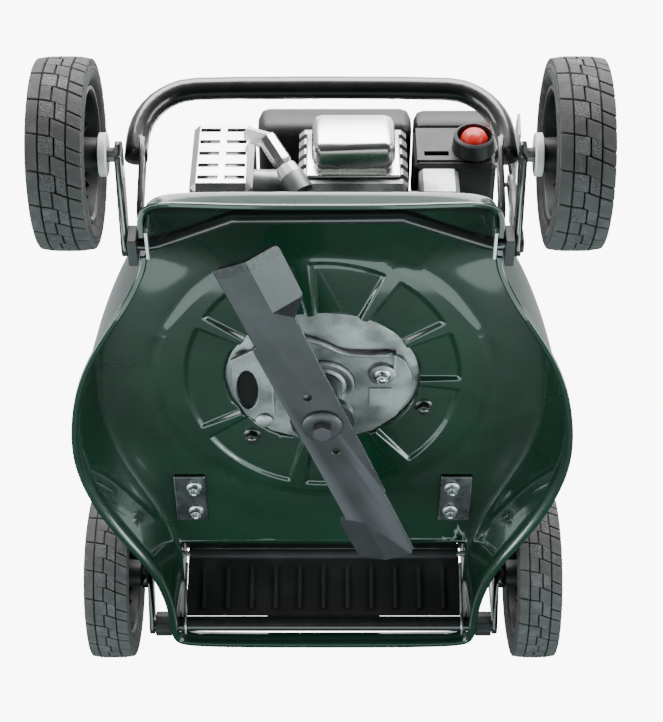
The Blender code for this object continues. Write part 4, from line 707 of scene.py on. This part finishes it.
def refined(piece, degrees, levels):
    """Turn coarse facets into flowing surfaces, and keep the edges sharper than an angle."""
    with editing(piece):
        bpy.ops.mesh.select_all(action="SELECT")
        bpy.ops.mesh.tris_convert_to_quads(face_threshold=math.radians(30), shape_threshold=math.radians(40))
    crease = piece.data.attributes.new("crease_edge", "FLOAT", "EDGE")
    work = bmesh.new()
    work.from_mesh(piece.data)
    for edge in work.edges:
        sharp = not edge.is_manifold or edge.calc_face_angle(0) > math.radians(degrees)
        crease.data[edge.index].value = 1.0 if sharp else 0.0
    work.free()
    fine = piece.modifiers.new("fine", "SUBSURF")
    fine.levels = levels
    fine.render_levels = levels
    apply(piece, fine)


def round_corners(piece, radius, thick=0.0095):
    """Round the corners of a flat plate, which show as short upright edges."""
    with editing(piece) as cage:
        bpy.ops.mesh.select_mode(type="EDGE")
        for edge in cage.edges:
            way = edge.verts[0].co - edge.verts[1].co
            upright = abs(way.z) > 0.3 * way.length and way.length < thick
            edge.select_set(upright and edge.calc_face_angle_signed(0) > math.radians(40))
        bmesh.update_edit_mesh(piece.data)
        bpy.ops.mesh.bevel(offset=radius, segments=5, affect="EDGES", clamp_overlap=False)


def dressed(node, edge=0.0, degrees=32, levels=0, corners=0.0):
    """A merged copy of a frame node that stands for it, with its edges rounded and its curves smooth."""
    piece = copied(NODES[node], f"{node}_finished")
    piece.data.materials.clear()
    close = 8e-4 if levels > 1 else 1e-5
    with editing(piece):
        bpy.ops.mesh.select_all(action="SELECT")
        bpy.ops.mesh.remove_doubles(threshold=close)
        if edge or levels > 1:
            bpy.ops.mesh.dissolve_degenerate(threshold=close)
        if edge:
            bpy.ops.mesh.dissolve_limited(angle_limit=math.radians(0.6))
    if corners:
        round_corners(piece, corners)
    if levels:
        refined(piece, degrees, levels)
    if edge:
        rounded(piece, edge, degrees=degrees)
    else:
        smoothed(piece, degrees)
        if not levels:
            weighted(piece)
    return mounted(piece, node, replaces=(node,))


def dress(*rows):
    """Finish copies of frame nodes from rows of node, edge and, where it isn't 32, degrees."""
    for row in rows:
        dressed(*row)


# Fixings


def hex_bolt(name, at, across, flange, stud=0.0):
    """A hexagon head on its flange, pointing down; with a length of stud it is a nut on a threaded stud."""
    start, height = 0.0014, across * 0.5
    rim = [(flange, 0.0), (flange, 0.0008), (across * 0.52, 0.0018), (0.0, 0.0018), (0.0, 0.0)]
    head = rounded(drum(f"{name}_head", across / math.sqrt(3), height, sides=6), across * 0.05)
    parts = [turned(f"{name}_flange", rim, 28), settle(head, (0, 0, start))]
    top = start + height
    if stud:
        radius = across * 0.28
        rings = max(2, int(stud / 0.0010))
        pitch = stud / rings
        thread = [(0.0, top - 0.001), (radius, top - 0.001)]
        for ring in range(rings):
            along = top + pitch * ring
            thread += [(radius, along), (radius * 0.86, along + pitch / 2)]
        thread += [(radius * 0.7, top + stud), (0.0, top + stud)]
        parts.append(turned(f"{name}_stud", thread, 16))
    else:
        foot = top - 0.0002
        crown = [(across * 0.36, foot), (across * 0.30, top + 0.0006), (0.0, top + 0.0009), (0.0, foot)]
        parts.append(turned(f"{name}_crown", crown, 20))
    return smoothed(settle(joined(name, parts), at, DOWN, roll=0.2), 30)


# Wheels


SHOULDER = 0.92
# Start and end along a pitch, both sides, slant, 1 where stippled, and for each end 1 where it leaves a gap
TREAD_BLOCKS = (
    (0.0, 1.0, -SHOULDER, -0.47, 0.16, 0, 1, 1),
    (0.0, 0.5, -0.47, 0.07, 0.16, 1, 1, 0),
    (0.5, 1.0, -0.47, -0.07, 0.16, 0, 0, 1),
    (0.5, 1.0, -0.07, 0.44, 0.40, 0, 1, 0),
    (1.0, 1.5, 0.07, 0.44, 0.40, 1, 0, 1),
    (0.5, 1.12, 0.44, SHOULDER, 0.40, 0, 1, 1),
    (1.12, 1.5, 0.44, SHOULDER, 0.40, 0, 1, 1),
)
TREAD_INSET = 0.0008
TREAD_ROOT = 0.0015
TREAD_EDGE = 0.0005
TREAD_CROWN = 0.0026


def tread_block(name, pitch, sizes, row):
    """One tread block, laid out flat and cut across so that it can bend round the tyre."""
    start, end, near, far, slant, stippled, before, after = row
    half = sizes.width / 2
    gap = sizes.gap / 2
    block = bar(
        name,
        (pitch * start + gap * before, half * near + gap, -TREAD_ROOT),
        (pitch * end - gap * after, half * far - (gap if far < SHOULDER else 0.0), sizes.groove),
    )
    with editing(block):
        for share in (0.25, 0.5, 0.75):
            bpy.ops.mesh.select_all(action="SELECT")
            cut_at = pitch * (start + (end - start) * share)
            bpy.ops.mesh.bisect(plane_co=(cut_at, 0, 0), plane_no=(1, 0, 0))
    bevelled(block, TREAD_EDGE, 1, 60)
    for corner in block.data.vertices:
        corner.co.x += corner.co.y * slant
    return painted(block, "tyre_stipple" if stippled else "rubber")


def tread_strip(name, radius, sizes, pitches):
    """The tread blocks of one pitch, repeated along a strip that is bent round the tyre."""
    base = radius - sizes.groove
    pitch = 2 * math.pi * base / pitches
    strip = joined(f"{name}_tread", [tread_block(f"{name}_block", pitch, sizes, row) for row in TREAD_BLOCKS])
    row = strip.modifiers.new("pitches", "ARRAY")
    row.use_relative_offset = False
    row.use_constant_offset = True
    row.constant_offset_displace = (pitch, 0, 0)
    row.count = pitches
    apply(strip, row)
    for corner in strip.data.vertices:
        along, across, up = corner.co
        angle = 2 * math.pi * along / (pitch * pitches)
        reach = base + up - TREAD_CROWN * (across / (sizes.width / 2)) ** 4
        corner.co = (reach * math.cos(angle), reach * math.sin(angle), across)
    return strip


# Drop below the tread's base and share of the half width, over the shoulder and two sidewall lines
TYRE_SIDE = (
    (0.0, 0.0), (0.0003, 0.50), (0.0018, 0.80), (0.0042, 0.93), (0.0066, 0.955), (0.0070, 0.94),
    (0.0080, 0.94), (0.0084, 0.965), (0.0125, 0.95), (0.0160, 0.86),
)


def tyre(name, node, radius, sizes, pitches):
    """A ring of rubber with its tread blocks, sidewall lines and bead."""
    half = sizes.width / 2
    base = radius - sizes.groove - 0.0002
    bore = radius - sizes.rubber + 0.0009
    profile = [(base - drop, half * share) for drop, share in TYRE_SIDE]
    profile += [(bore + 0.0016, half * 0.80), (bore, half * 0.76)]
    mirrored = [(reach, -along) for reach, along in reversed(profile[1:])]
    carcass = painted(turned(f"{name}_carcass", profile + mirrored, 96, ring=True), "rubber")
    tread = tread_strip(name, radius - TREAD_INSET, sizes, pitches)
    piece = settle(joined(name, [carcass, tread]), middle(node), (1, 0, 0))
    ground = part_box(node)[0].z
    for corner in piece.data.vertices:
        corner.co.z = max(corner.co.z, ground)
    return mounted(smoothed(piece, 28), node, replaces=(node,))


HUB_BORE = 0.0063
HUB_BOSS = 0.0145
RIB_THICK = 0.0014
RIB_FOOT = -0.004
RIB_END = 0.009
SPOKE_THICK = 0.0018
SPOKE_RISE = 0.0060
SPOKE_END_RISE = 0.0046
RIBS_PER_SPOKE = 3


def fin(name, angle, start, end, thick, start_edges, end_edges):
    """A thin bar out from the hub's axis, with its lower and upper edge given at both ends."""
    piece = bar(name, (start, -thick / 2, 0), (end, thick / 2, 1))
    for corner in piece.data.vertices:
        edges = start_edges if corner.co.x < (start + end) / 2 else end_edges
        corner.co.z = edges[corner.co.z > 0.5]
    piece.rotation_euler = (0, 0, angle)
    return applied(piece)


def hub(name, node, radius, sizes):
    """Dished plastic hub: boss, web, rim lips and thin ribs on both sides."""
    low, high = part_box(node)
    centre = (low + high) / 2
    wheel_x = middle(node.replace("hub", "tyre")).x
    rim = radius - sizes.rubber
    lip = sizes.width * 0.42
    outer = sizes.width * 0.34
    web = sizes.width * 0.20
    inner = min(abs(low.x), abs(high.x)) - abs(wheel_x)
    profile = [
        (HUB_BORE, outer), (HUB_BOSS - 0.001, outer), (HUB_BOSS, outer - 0.001),
        (HUB_BOSS + 0.003, web + 0.0035), (rim * 0.62, web + 0.0020), (rim - 0.0075, web + 0.0045),
        (rim - 0.0045, lip - 0.002), (rim - 0.0030, lip), (rim, lip), (rim, -lip),
        (rim - 0.0030, -lip), (rim - 0.0050, -lip + 0.002), (rim - 0.0065, web - 0.001),
        (rim * 0.62, web - 0.0015), (HUB_BOSS + 0.001, web - 0.002), (HUB_BOSS - 0.001, inner + 0.001),
        (HUB_BOSS - 0.002, inner), (HUB_BORE, inner),
    ]
    pieces = [rounded(turned(f"{name}_dish", profile, 64, ring=True), 0.0005, 2, 30)]
    end = rim - 0.0055
    for count in range(sizes.ribs):
        angle = 2 * math.pi * (count + 0.5) / sizes.ribs
        edges = (RIB_FOOT, web), (RIB_END - lip, web)
        pieces.append(fin(f"{name}_rib", angle, HUB_BOSS - 0.0015, end, RIB_THICK, *edges))
        if count % RIBS_PER_SPOKE == 0:
            edges = (web, web + SPOKE_RISE), (web, web + SPOKE_END_RISE)
            pieces.append(fin(f"{name}_spoke", angle, HUB_BOSS, end, SPOKE_THICK, *edges))
    outwards = 1 if centre.x > 0 else -1
    piece = settle(joined(name, pieces), (wheel_x, centre.y, centre.z), (outwards, 0, 0))
    return mounted(smoothed(piece, 30), node, replaces=(node,))


class MOWER_OT_tyres(bpy.types.Operator):
    """Add the four tyres with their tread blocks"""

    bl_idname = "mower.tyres"
    bl_label = "Tyres"

    def execute(self, context):
        sizes = context.scene.mower_wheels
        for end, radius in (("front", sizes.front_radius), ("rear", sizes.rear_radius)):
            pitches = round(sizes.pitches * radius / sizes.front_radius)
            for side in SIDES:
                node = f"{end}_tyre_{side}"
                tyre(f"{node}_rubber", node, radius, sizes, pitches)
        return {"FINISHED"}


class MOWER_OT_hubs(bpy.types.Operator):
    """Add the four ribbed hubs and the nylon collars inside the front ones"""

    bl_idname = "mower.hubs"
    bl_label = "Hubs"

    def execute(self, context):
        sizes = context.scene.mower_wheels
        for end, radius in (("front", sizes.front_radius), ("rear", sizes.rear_radius)):
            for side in SIDES:
                node = f"{end}_hub_{side}"
                hub(f"{node}_moulding", node, radius, sizes)
        dress(*[(f"front_collar_{side}", 0.0006) for side in SIDES])
        return {"FINISHED"}


# Deck, blade and the parts below


def eased(value):
    value = min(max(value, 0.0), 1.0)
    return value * value * (3 - 2 * value)


def pad_distances(at):
    """How far a place lies inside the pad's outline and outside its nearest valley."""
    x, forward = at.x, BLADE_AXIS_Y - at.y
    share = math.hypot(x / PAD_HALF_WIDTH, forward / PAD_HALF_LENGTH)
    inside = math.hypot(x, forward) * (1 / max(share, 1e-6) - 1)
    clear = 1.0
    for turn in VALLEYS:
        along = x * math.cos(turn) + forward * math.sin(turn)
        across = abs(forward * math.cos(turn) - x * math.sin(turn))
        if along > 0:
            half = VALLEY_HALF_WIDTH + VALLEY_FLARE * max(along - PETAL_START, 0.0)
            clear = min(clear, across - half)
    return inside, clear


def on_pad_slope(at, margin):
    inside, clear = pad_distances(at)
    if inside < -margin:
        return False
    return inside < PAD_STEP + margin or -margin < clear < PAD_STEP + margin


def press_pad(deck):
    """Raise the pad's petals out of the roof, lower towards their ends, and leave the valleys between."""
    # The normals are read first, because each corner that moves has all of them worked out again
    sheets = [SHEET if corner.normal.z < 0 else 0.0 for corner in deck.data.vertices]
    for corner, sheet in zip(deck.data.vertices, sheets):
        at = corner.co
        reach = math.hypot(at.x, BLADE_AXIS_Y - at.y)
        if reach > PAD_REACH or at.z < ROOF_UP - 0.01:
            continue
        inside, clear = pad_distances(at)
        fall = (reach - PETAL_START) / PETAL_FALL * (1 - PETAL_END_SHARE)
        tilt = min(max(1.0 - fall, PETAL_END_SHARE), 1.0)
        at.z = ROOF_UP - sheet + PAD_RISE * tilt * eased(inside / PAD_STEP) * eased(clear / PAD_STEP)


class MOWER_OT_deck(bpy.types.Operator):
    """Finish the pressed deck"""

    bl_idname = "mower.deck"
    bl_label = "Deck"

    def execute(self, context):
        deck = dressed("deck", degrees=50, levels=2)
        for margin, cuts in ((0.008, 2), (0.004, 1)):
            with editing(deck) as cage:
                for face in cage.faces:
                    at = face.calc_center_median()
                    flat = abs(face.normal.z) > 0.9 and at.z > ROOF_UP - 0.01
                    face.select_set(flat and on_pad_slope(at, margin))
                bmesh.update_edit_mesh(deck.data)
                bpy.ops.mesh.subdivide(number_cuts=cuts)
        press_pad(deck)
        return {"FINISHED"}


class MOWER_OT_blade(bpy.types.Operator):
    """Finish the blade, its holder, washer and bolt, the crankshaft and the flywheel"""

    bl_idname = "mower.blade"
    bl_label = "Blade"

    def execute(self, context):
        blade = dressed("blade", 0.0004, 20, corners=0.005)
        blade.data.materials.append(finish_for("ground_edge"))
        axis = Vector((-math.sin(BLADE_TURN), -math.cos(BLADE_TURN), 0))
        for face in blade.data.polygons:
            from_axis = face.center - spot(0, 0, face.center.z)
            wing = abs(from_axis.dot(axis)) > BLADE_WING_START
            if -0.97 < face.normal.z < -0.30 and not wing:
                face.material_index = 1
        dress(("blade_holder", 0.0008), ("blade_washer", 0.0003), ("blade_bolt", 0.0005))
        dress(("crankshaft", 0.0006), ("flywheel", 0.0006))
        return {"FINISHED"}


# What shows on the sump. Each drop is below its face. Radius and drop round the shaft's seal
SEAL = (
    (0.03, 0.0064), (0.0285, 0.008), (0.024, 0.008), (0.023, 0.007), (0.0215, 0.007),
    (0.0205, 0.0086), (0.017, 0.0086), (0.016, 0.0066), (0.0135, 0.0066), (0.0135, 0.004),
    (0.03, 0.004),
)
# Outline of the shelf and the line of the step on it, as (x, forward)
SHELF = (
    (-0.085, 0.03), (-0.056, 0.048), (-0.021, 0.06), (-0.002, 0.052), (0.018, 0.04), (0.064, 0.04),
    (0.078, 0.028), (0.084, 0.01), (0.084, -0.018), (0.07, -0.046), (0.048, -0.066), (0.016, -0.078),
    (-0.018, -0.078), (-0.05, -0.066), (-0.074, -0.044), (-0.085, -0.015),
)
STEP = ((-0.052, 0.048), (-0.021, 0.06), (0.000, 0.052), (0.018, 0.039), (0.04, 0.037), (0.062, 0.038))
STEP_RADIUS = 0.0028
POCKET_AT = (-0.071, -0.01)
POCKET_RADII = (0.01, 0.026)
SHAFT_WAY = 0.03
PLUG_AT = (0.0558, 0.014)
# Name, x, forward, radius and drop of the round bosses
BOSSES = (
    ("plug_boss", *PLUG_AT, 0.0125, 0.007),
    ("bolt_boss", -0.056, -0.05, 0.0085, 0.006),
    ("oil_gallery", -0.02, -0.062, 0.0075, 0.005),
)
# Both x, both forward and drop of the ribs and the filler pad
RIBS = (
    (0.066, 0.069, 0.012, 0.04, 0.007),
    (0.044, 0.066, -0.03, -0.006, 0.005),
    (-0.048, -0.0455, -0.04, 0.03, 0.005),
    (-0.044, -0.03, 0.024, 0.0265, 0.005),
    (0.02, 0.0228, -0.07, -0.034, 0.0055),
)


class MOWER_OT_engine_base(bpy.types.Operator):
    """Finish the crankcase and add what shows on the sump"""

    bl_idname = "mower.engine_base"
    bl_label = "Engine base"

    def execute(self, context):
        dress(("engine_block", 0, 34))
        ring = turned("shaft_seal", [(radius, SUMP_UP - drop) for radius, drop in SEAL], 56, ring=True)
        shelf = plate("sump_shelf", SHELF, SUMP_UP - 0.0035, SUMP_UP + 0.0005)
        cut = (SUMP_UP - 0.006, SUMP_UP + 0.002)
        carve(shelf, oval("sump_pocket", POCKET_AT, POCKET_RADII, *cut))
        carve(shelf, oval("sump_way", (0.0, 0.0), (SHAFT_WAY, SHAFT_WAY), *cut))
        # Painted shade: a near-black sheet on the pocket's floor, where the hollow lies in shade
        inside = [radius - 0.0002 for radius in POCKET_RADII]
        pocket_shade = oval("sump_pocket_shade", POCKET_AT, inside, SUMP_UP - 0.0004, SUMP_UP + 0.0004)
        mounted(rounded(pocket_shade, 0.0002, 1), "engine_block", "recess")
        line = [spot(x, forward, SUMP_UP - 0.0030) for x, forward in STEP]
        step = wire("sump_step", line, STEP_RADIUS, 0.014)
        parts = [settle(ring, spot(0, 0, 0)), rounded(shelf, 0.0012, 3), step]
        for name, x, forward, radius, drop in BOSSES:
            foot = -drop - 0.0006
            boss = [(0.0, 0.001), (radius * 1.12, 0.001), (radius, -drop), (radius * 0.92, foot), (0.0, foot)]
            parts.append(settle(turned(name, boss, 32), spot(x, forward, SUMP_UP)))
        for x_low, x_high, back, front, drop in RIBS:
            rib = bar("sump_rib", spot(x_low, front, SUMP_UP - drop), spot(x_high, back, SUMP_UP + 0.001))
            parts.append(rounded(rib, 0.0009))
        mounted(smoothed(joined("sump_casting", parts), 40), "engine_block")
        plug = hex_bolt("drain_plug", spot(*PLUG_AT, SUMP_UP - 0.0076), 0.0105, 0.0082)
        mounted(plug, "engine_block", "bright_steel")
        return {"FINISHED"}


class MOWER_OT_engine_top(bpy.types.Operator):
    """Finish the head, covers, muffler, shroud, starter cover and tank"""

    bl_idname = "mower.engine_top"
    bl_label = "Engine top"

    def execute(self, context):
        dress(("cylinder_head", 0.0005), ("rocker_cover", 0, 40))
        dress(("muffler", 0, 34), ("muffler_guard", 0.0004))
        dress(("spark_plug", 0.0003), ("spark_plug_cap", 0.0005))
        dress(("fan_shroud", 0, 40), ("recoil_cover", 0, 36), ("fuel_tank", 0, 40))
        dress(("fuel_cap", 0.0006), ("dipstick", 0.0005))
        return {"FINISHED"}


class MOWER_OT_intake(bpy.types.Operator):
    """Finish the carburettor, air filter and primer"""

    bl_idname = "mower.intake"
    bl_label = "Intake"

    def execute(self, context):
        dress(("carburettor", 0.0005), ("air_filter_base", 0.0006), ("air_filter_cover", 0.0008))
        dress(("primer_housing", 0.0005), ("primer_bulb", 0, 50))
        return {"FINISHED"}


class MOWER_OT_axles(bpy.types.Operator):
    """Finish the axles, their bearings, the height lever and the link"""

    bl_idname = "mower.axles"
    bl_label = "Axles"

    def execute(self, context):
        dress(("front_axle", 0, 40), ("rear_axle", 0, 40))
        dress(("height_lever", 0.0008), ("height_quadrant", 0.0004), ("link_rod", 0, 50))
        for side in SIDES:
            dress((f"bearing_plate_{side}", 0.0004))
            dress((f"front_bearing_{side}", 0.0008), (f"rear_bearing_{side}", 0.0008))
        return {"FINISHED"}


class MOWER_OT_handle(bpy.types.Operator):
    """Finish the bumper, the handle tubes, their brackets and knobs and the control bail"""

    bl_idname = "mower.handle"
    bl_label = "Handle and bumper"

    def execute(self, context):
        for node in ("front_bumper", "lower_handle", "upper_handle", "operator_bail"):
            dressed(node, degrees=55, levels=1)
        for side in SIDES:
            # The straps get the darkened zinc: painted shade under the roof
            painted(dressed(f"handle_strap_{side}", 0.0004), "painted_shade_zinc")
            dress((f"handle_bracket_{side}", 0.0004), (f"handle_knob_{side}", 0.0008))
        return {"FINISHED"}


class MOWER_OT_rear_door(bpy.types.Operator):
    """Finish the ribbed rear door with its edge, its rod and the wire clips"""

    bl_idname = "mower.rear_door"
    bl_label = "Rear door"

    def execute(self, context):
        dress(("rear_door", 0.0005))
        tilt = Matrix.Translation(middle("door_rod")) @ Matrix.Rotation(DOOR_TILT, 4, "X")
        inner, outer = 0.0004, 0.0026
        edges = [
            bar("door_lip", (-0.1437, inner, 0.0125), (0.1437, outer, 0.0156)),
            bar("door_side", (0.1425, inner, -0.042), (0.1460, outer, 0.0120)),
            bar("door_side", (-0.1460, inner, -0.042), (-0.1425, outer, 0.0120)),
        ]
        seal = joined("door_seal", edges)
        seal.data.transform(tilt)
        mounted(rounded(seal, 0.0005), "rear_door")
        dress(("door_rod", 0, 50), *[(f"axle_clip_{side}", 0, 50) for side in SIDES])
        return {"FINISHED"}


class MOWER_OT_fixings(bpy.types.Operator):
    """Add the bolts and nuts"""

    bl_idname = "mower.fixings"
    bl_label = "Fixings"

    def execute(self, context):
        for side, x, forward in (("left", 0.097, -0.038), ("right", -0.069, -0.079)):
            bolt = hex_bolt(f"engine_bolt_{side}", spot(x, forward, ROOF_UP + 0.0018), 0.0125, 0.0088)
            mounted(bolt, "engine_block", "black_paint")
        strap_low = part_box("handle_strap_left")[0].z
        for side, x in (("left", 0.1295), ("right", -0.1295)):
            for count, forward in enumerate((-0.150, -0.186)):
                at = spot(x, forward, strap_low - 0.0001)
                bolt = hex_bolt(f"strap_bolt_{side}_{count}", at, 0.010, 0.0078, stud=0.004)
                mounted(bolt, "handle_strap_left", "zinc")
        return {"FINISHED"}


# Stage


def sight(tilt):
    """The camera's directions backwards and upwards."""
    return Vector((0, -math.sin(tilt), math.cos(tilt))), Vector((0, math.cos(tilt), math.sin(tilt)))


def one_sided(name, tone):
    """Pale matt floor that isn't seen from below."""
    card = Finish(name, {"Base Color": (*tone, 1.0), "Roughness": 0.55})
    below = card.node("ShaderNodeNewGeometry", output="Backfacing")
    clear = card.node("ShaderNodeBsdfTransparent")
    card.show("Material Output", below, Wire(card, card.shader.outputs["BSDF"]), clear)
    return card.material


def softbox(name, at, aim, size, power, tone=(1, 1, 1)):
    bpy.ops.object.light_add(type="AREA", location=at)
    light = bpy.context.object
    light.name = name
    light.data.shape = "RECTANGLE"
    light.data.size, light.data.size_y = size
    light.data.energy = power
    light.data.color = tone
    light.rotation_euler = (Vector(at) - Vector(aim)).to_track_quat("Z", "Y").to_euler()
    light.visible_camera = False


def studio_world(look):
    """White to the camera; for everything else dark behind the camera and below it, bright above."""
    world = bpy.data.worlds.new("studio")
    bpy.context.scene.world = world
    world.use_nodes = True
    sky = Web(world.node_tree)
    direction = sky.node("ShaderNodeTexCoord", output="Generated")

    def lit(towards, start, end, away, there):
        """A level that changes over the sky towards a direction."""
        settings = {"operation": "DOT_PRODUCT"}
        along = sky.node("ShaderNodeVectorMath", settings, {0: direction, 1: towards}, output="Value")
        return sky.mask(along, start, end, away, there)

    back, over = sight(look.tilt)
    lit_back = lit(back, -0.15, 0.55, look.ambient, look.dark_side)
    lit_over = lit(over, -0.75, 0.55, look.dark_floor, 1.0)
    around = {"Color": (0.93, 0.96, 1.0, 1.0), "Strength": lit_back * lit_over}
    behind = {"Color": (1.0, 1.0, 1.0, 1.0), "Strength": look.backdrop}
    seen = sky.node("ShaderNodeLightPath", output="Is Camera Ray")
    backgrounds = [sky.node("ShaderNodeBackground", None, sockets) for sockets in (around, behind)]
    sky.show("World Output", seen, *backgrounds)


class MOWER_OT_stage(bpy.types.Operator):
    """Add the floor, the soft lights and the camera"""

    bl_idname = "mower.stage"
    bl_label = "Floor, light and camera"

    def execute(self, context):
        look = context.scene.mower_stage
        studio_world(look)
        bpy.ops.object.select_all(action="DESELECT")
        bpy.ops.mesh.primitive_plane_add(size=14.0, location=(0, 0, -0.0003))
        floor = named("studio_floor")
        floor.data.materials.append(one_sided("floor_card", look.floor_colour))
        for kind in ("diffuse", "glossy", "transmission", "shadow"):
            setattr(floor, f"visible_{kind}", False)

        aim = spot(look.aim_side, look.aim_up, look.aim_up)
        back, over = sight(look.tilt)
        bpy.ops.object.camera_add(location=aim + back * look.distance, rotation=(look.tilt, 0, 0))
        camera = bpy.context.object
        camera.name = "studio_camera"
        camera.data.lens = look.lens
        camera.data.clip_end = 30.0
        context.scene.camera = camera

        teal = (0.80, 1.0, 0.96)
        for side, across in (("left", Vector((-1, 0, 0))), ("right", Vector((1, 0, 0)))):
            high = aim + across * 1.5 + back + over * 0.2
            low = aim + across - over + back * 0.3
            softbox(f"{side}_softbox", high, aim, (0.7, 1.6), 22)
            softbox(f"low_{side}_softbox", low, aim, (0.40, 1.0), 14, teal)
        near = back * 0.54
        softbox("low_softbox", aim - over * 1.5 + near, aim - over * 0.5 + near, (2.4, 0.94), 20, teal)
        softbox("top_softbox", aim + over * 1.7 + back * 0.25, aim, (2.2, 1.1), 120)
        softbox("sky_softbox", (0.4, -0.2, 2.4), (0, 0, 0.2), (2.4, 2.4), 60)
        return {"FINISHED"}


# Panel, registration and the run


OPERATORS = (
    MOWER_OT_deck,
    MOWER_OT_tyres,
    MOWER_OT_hubs,
    MOWER_OT_blade,
    MOWER_OT_engine_base,
    MOWER_OT_engine_top,
    MOWER_OT_intake,
    MOWER_OT_axles,
    MOWER_OT_handle,
    MOWER_OT_rear_door,
    MOWER_OT_fixings,
    MOWER_OT_stage,
)


class MOWER_PT_sidebar(bpy.types.Panel):
    """Lists the mower's pieces in the sidebar"""

    bl_idname = "MOWER_PT_sidebar"
    bl_label = "Lawn mower"
    bl_space_type = "VIEW_3D"
    bl_region_type = "UI"
    bl_category = "Mower"

    def draw(self, context):
        column = self.layout.column()
        for operator in OPERATORS:
            column.operator(operator.bl_idname)
        for name, group in GROUPS.items():
            for setting in group.__annotations__:
                column.prop(getattr(context.scene, name), setting)


GROUPS = {
    "mower_colours": MowerColours,
    "mower_wheels": WheelSizes,
    "mower_stage": StageLook,
}


def register():
    for name, group in GROUPS.items():
        bpy.utils.register_class(group)
        setattr(bpy.types.Scene, name, PointerProperty(type=group))
    for kind in (*OPERATORS, MOWER_PT_sidebar):
        bpy.utils.register_class(kind)


def unregister():
    for kind in reversed((*OPERATORS, MOWER_PT_sidebar)):
        bpy.utils.unregister_class(kind)
    for name, group in GROUPS.items():
        delattr(bpy.types.Scene, name)
        bpy.utils.unregister_class(group)


def main():
    register()
    for operator in OPERATORS:
        getattr(bpy.ops.mower, operator.bl_idname.removeprefix("mower."))()


if __name__ == "__main__":
    main()
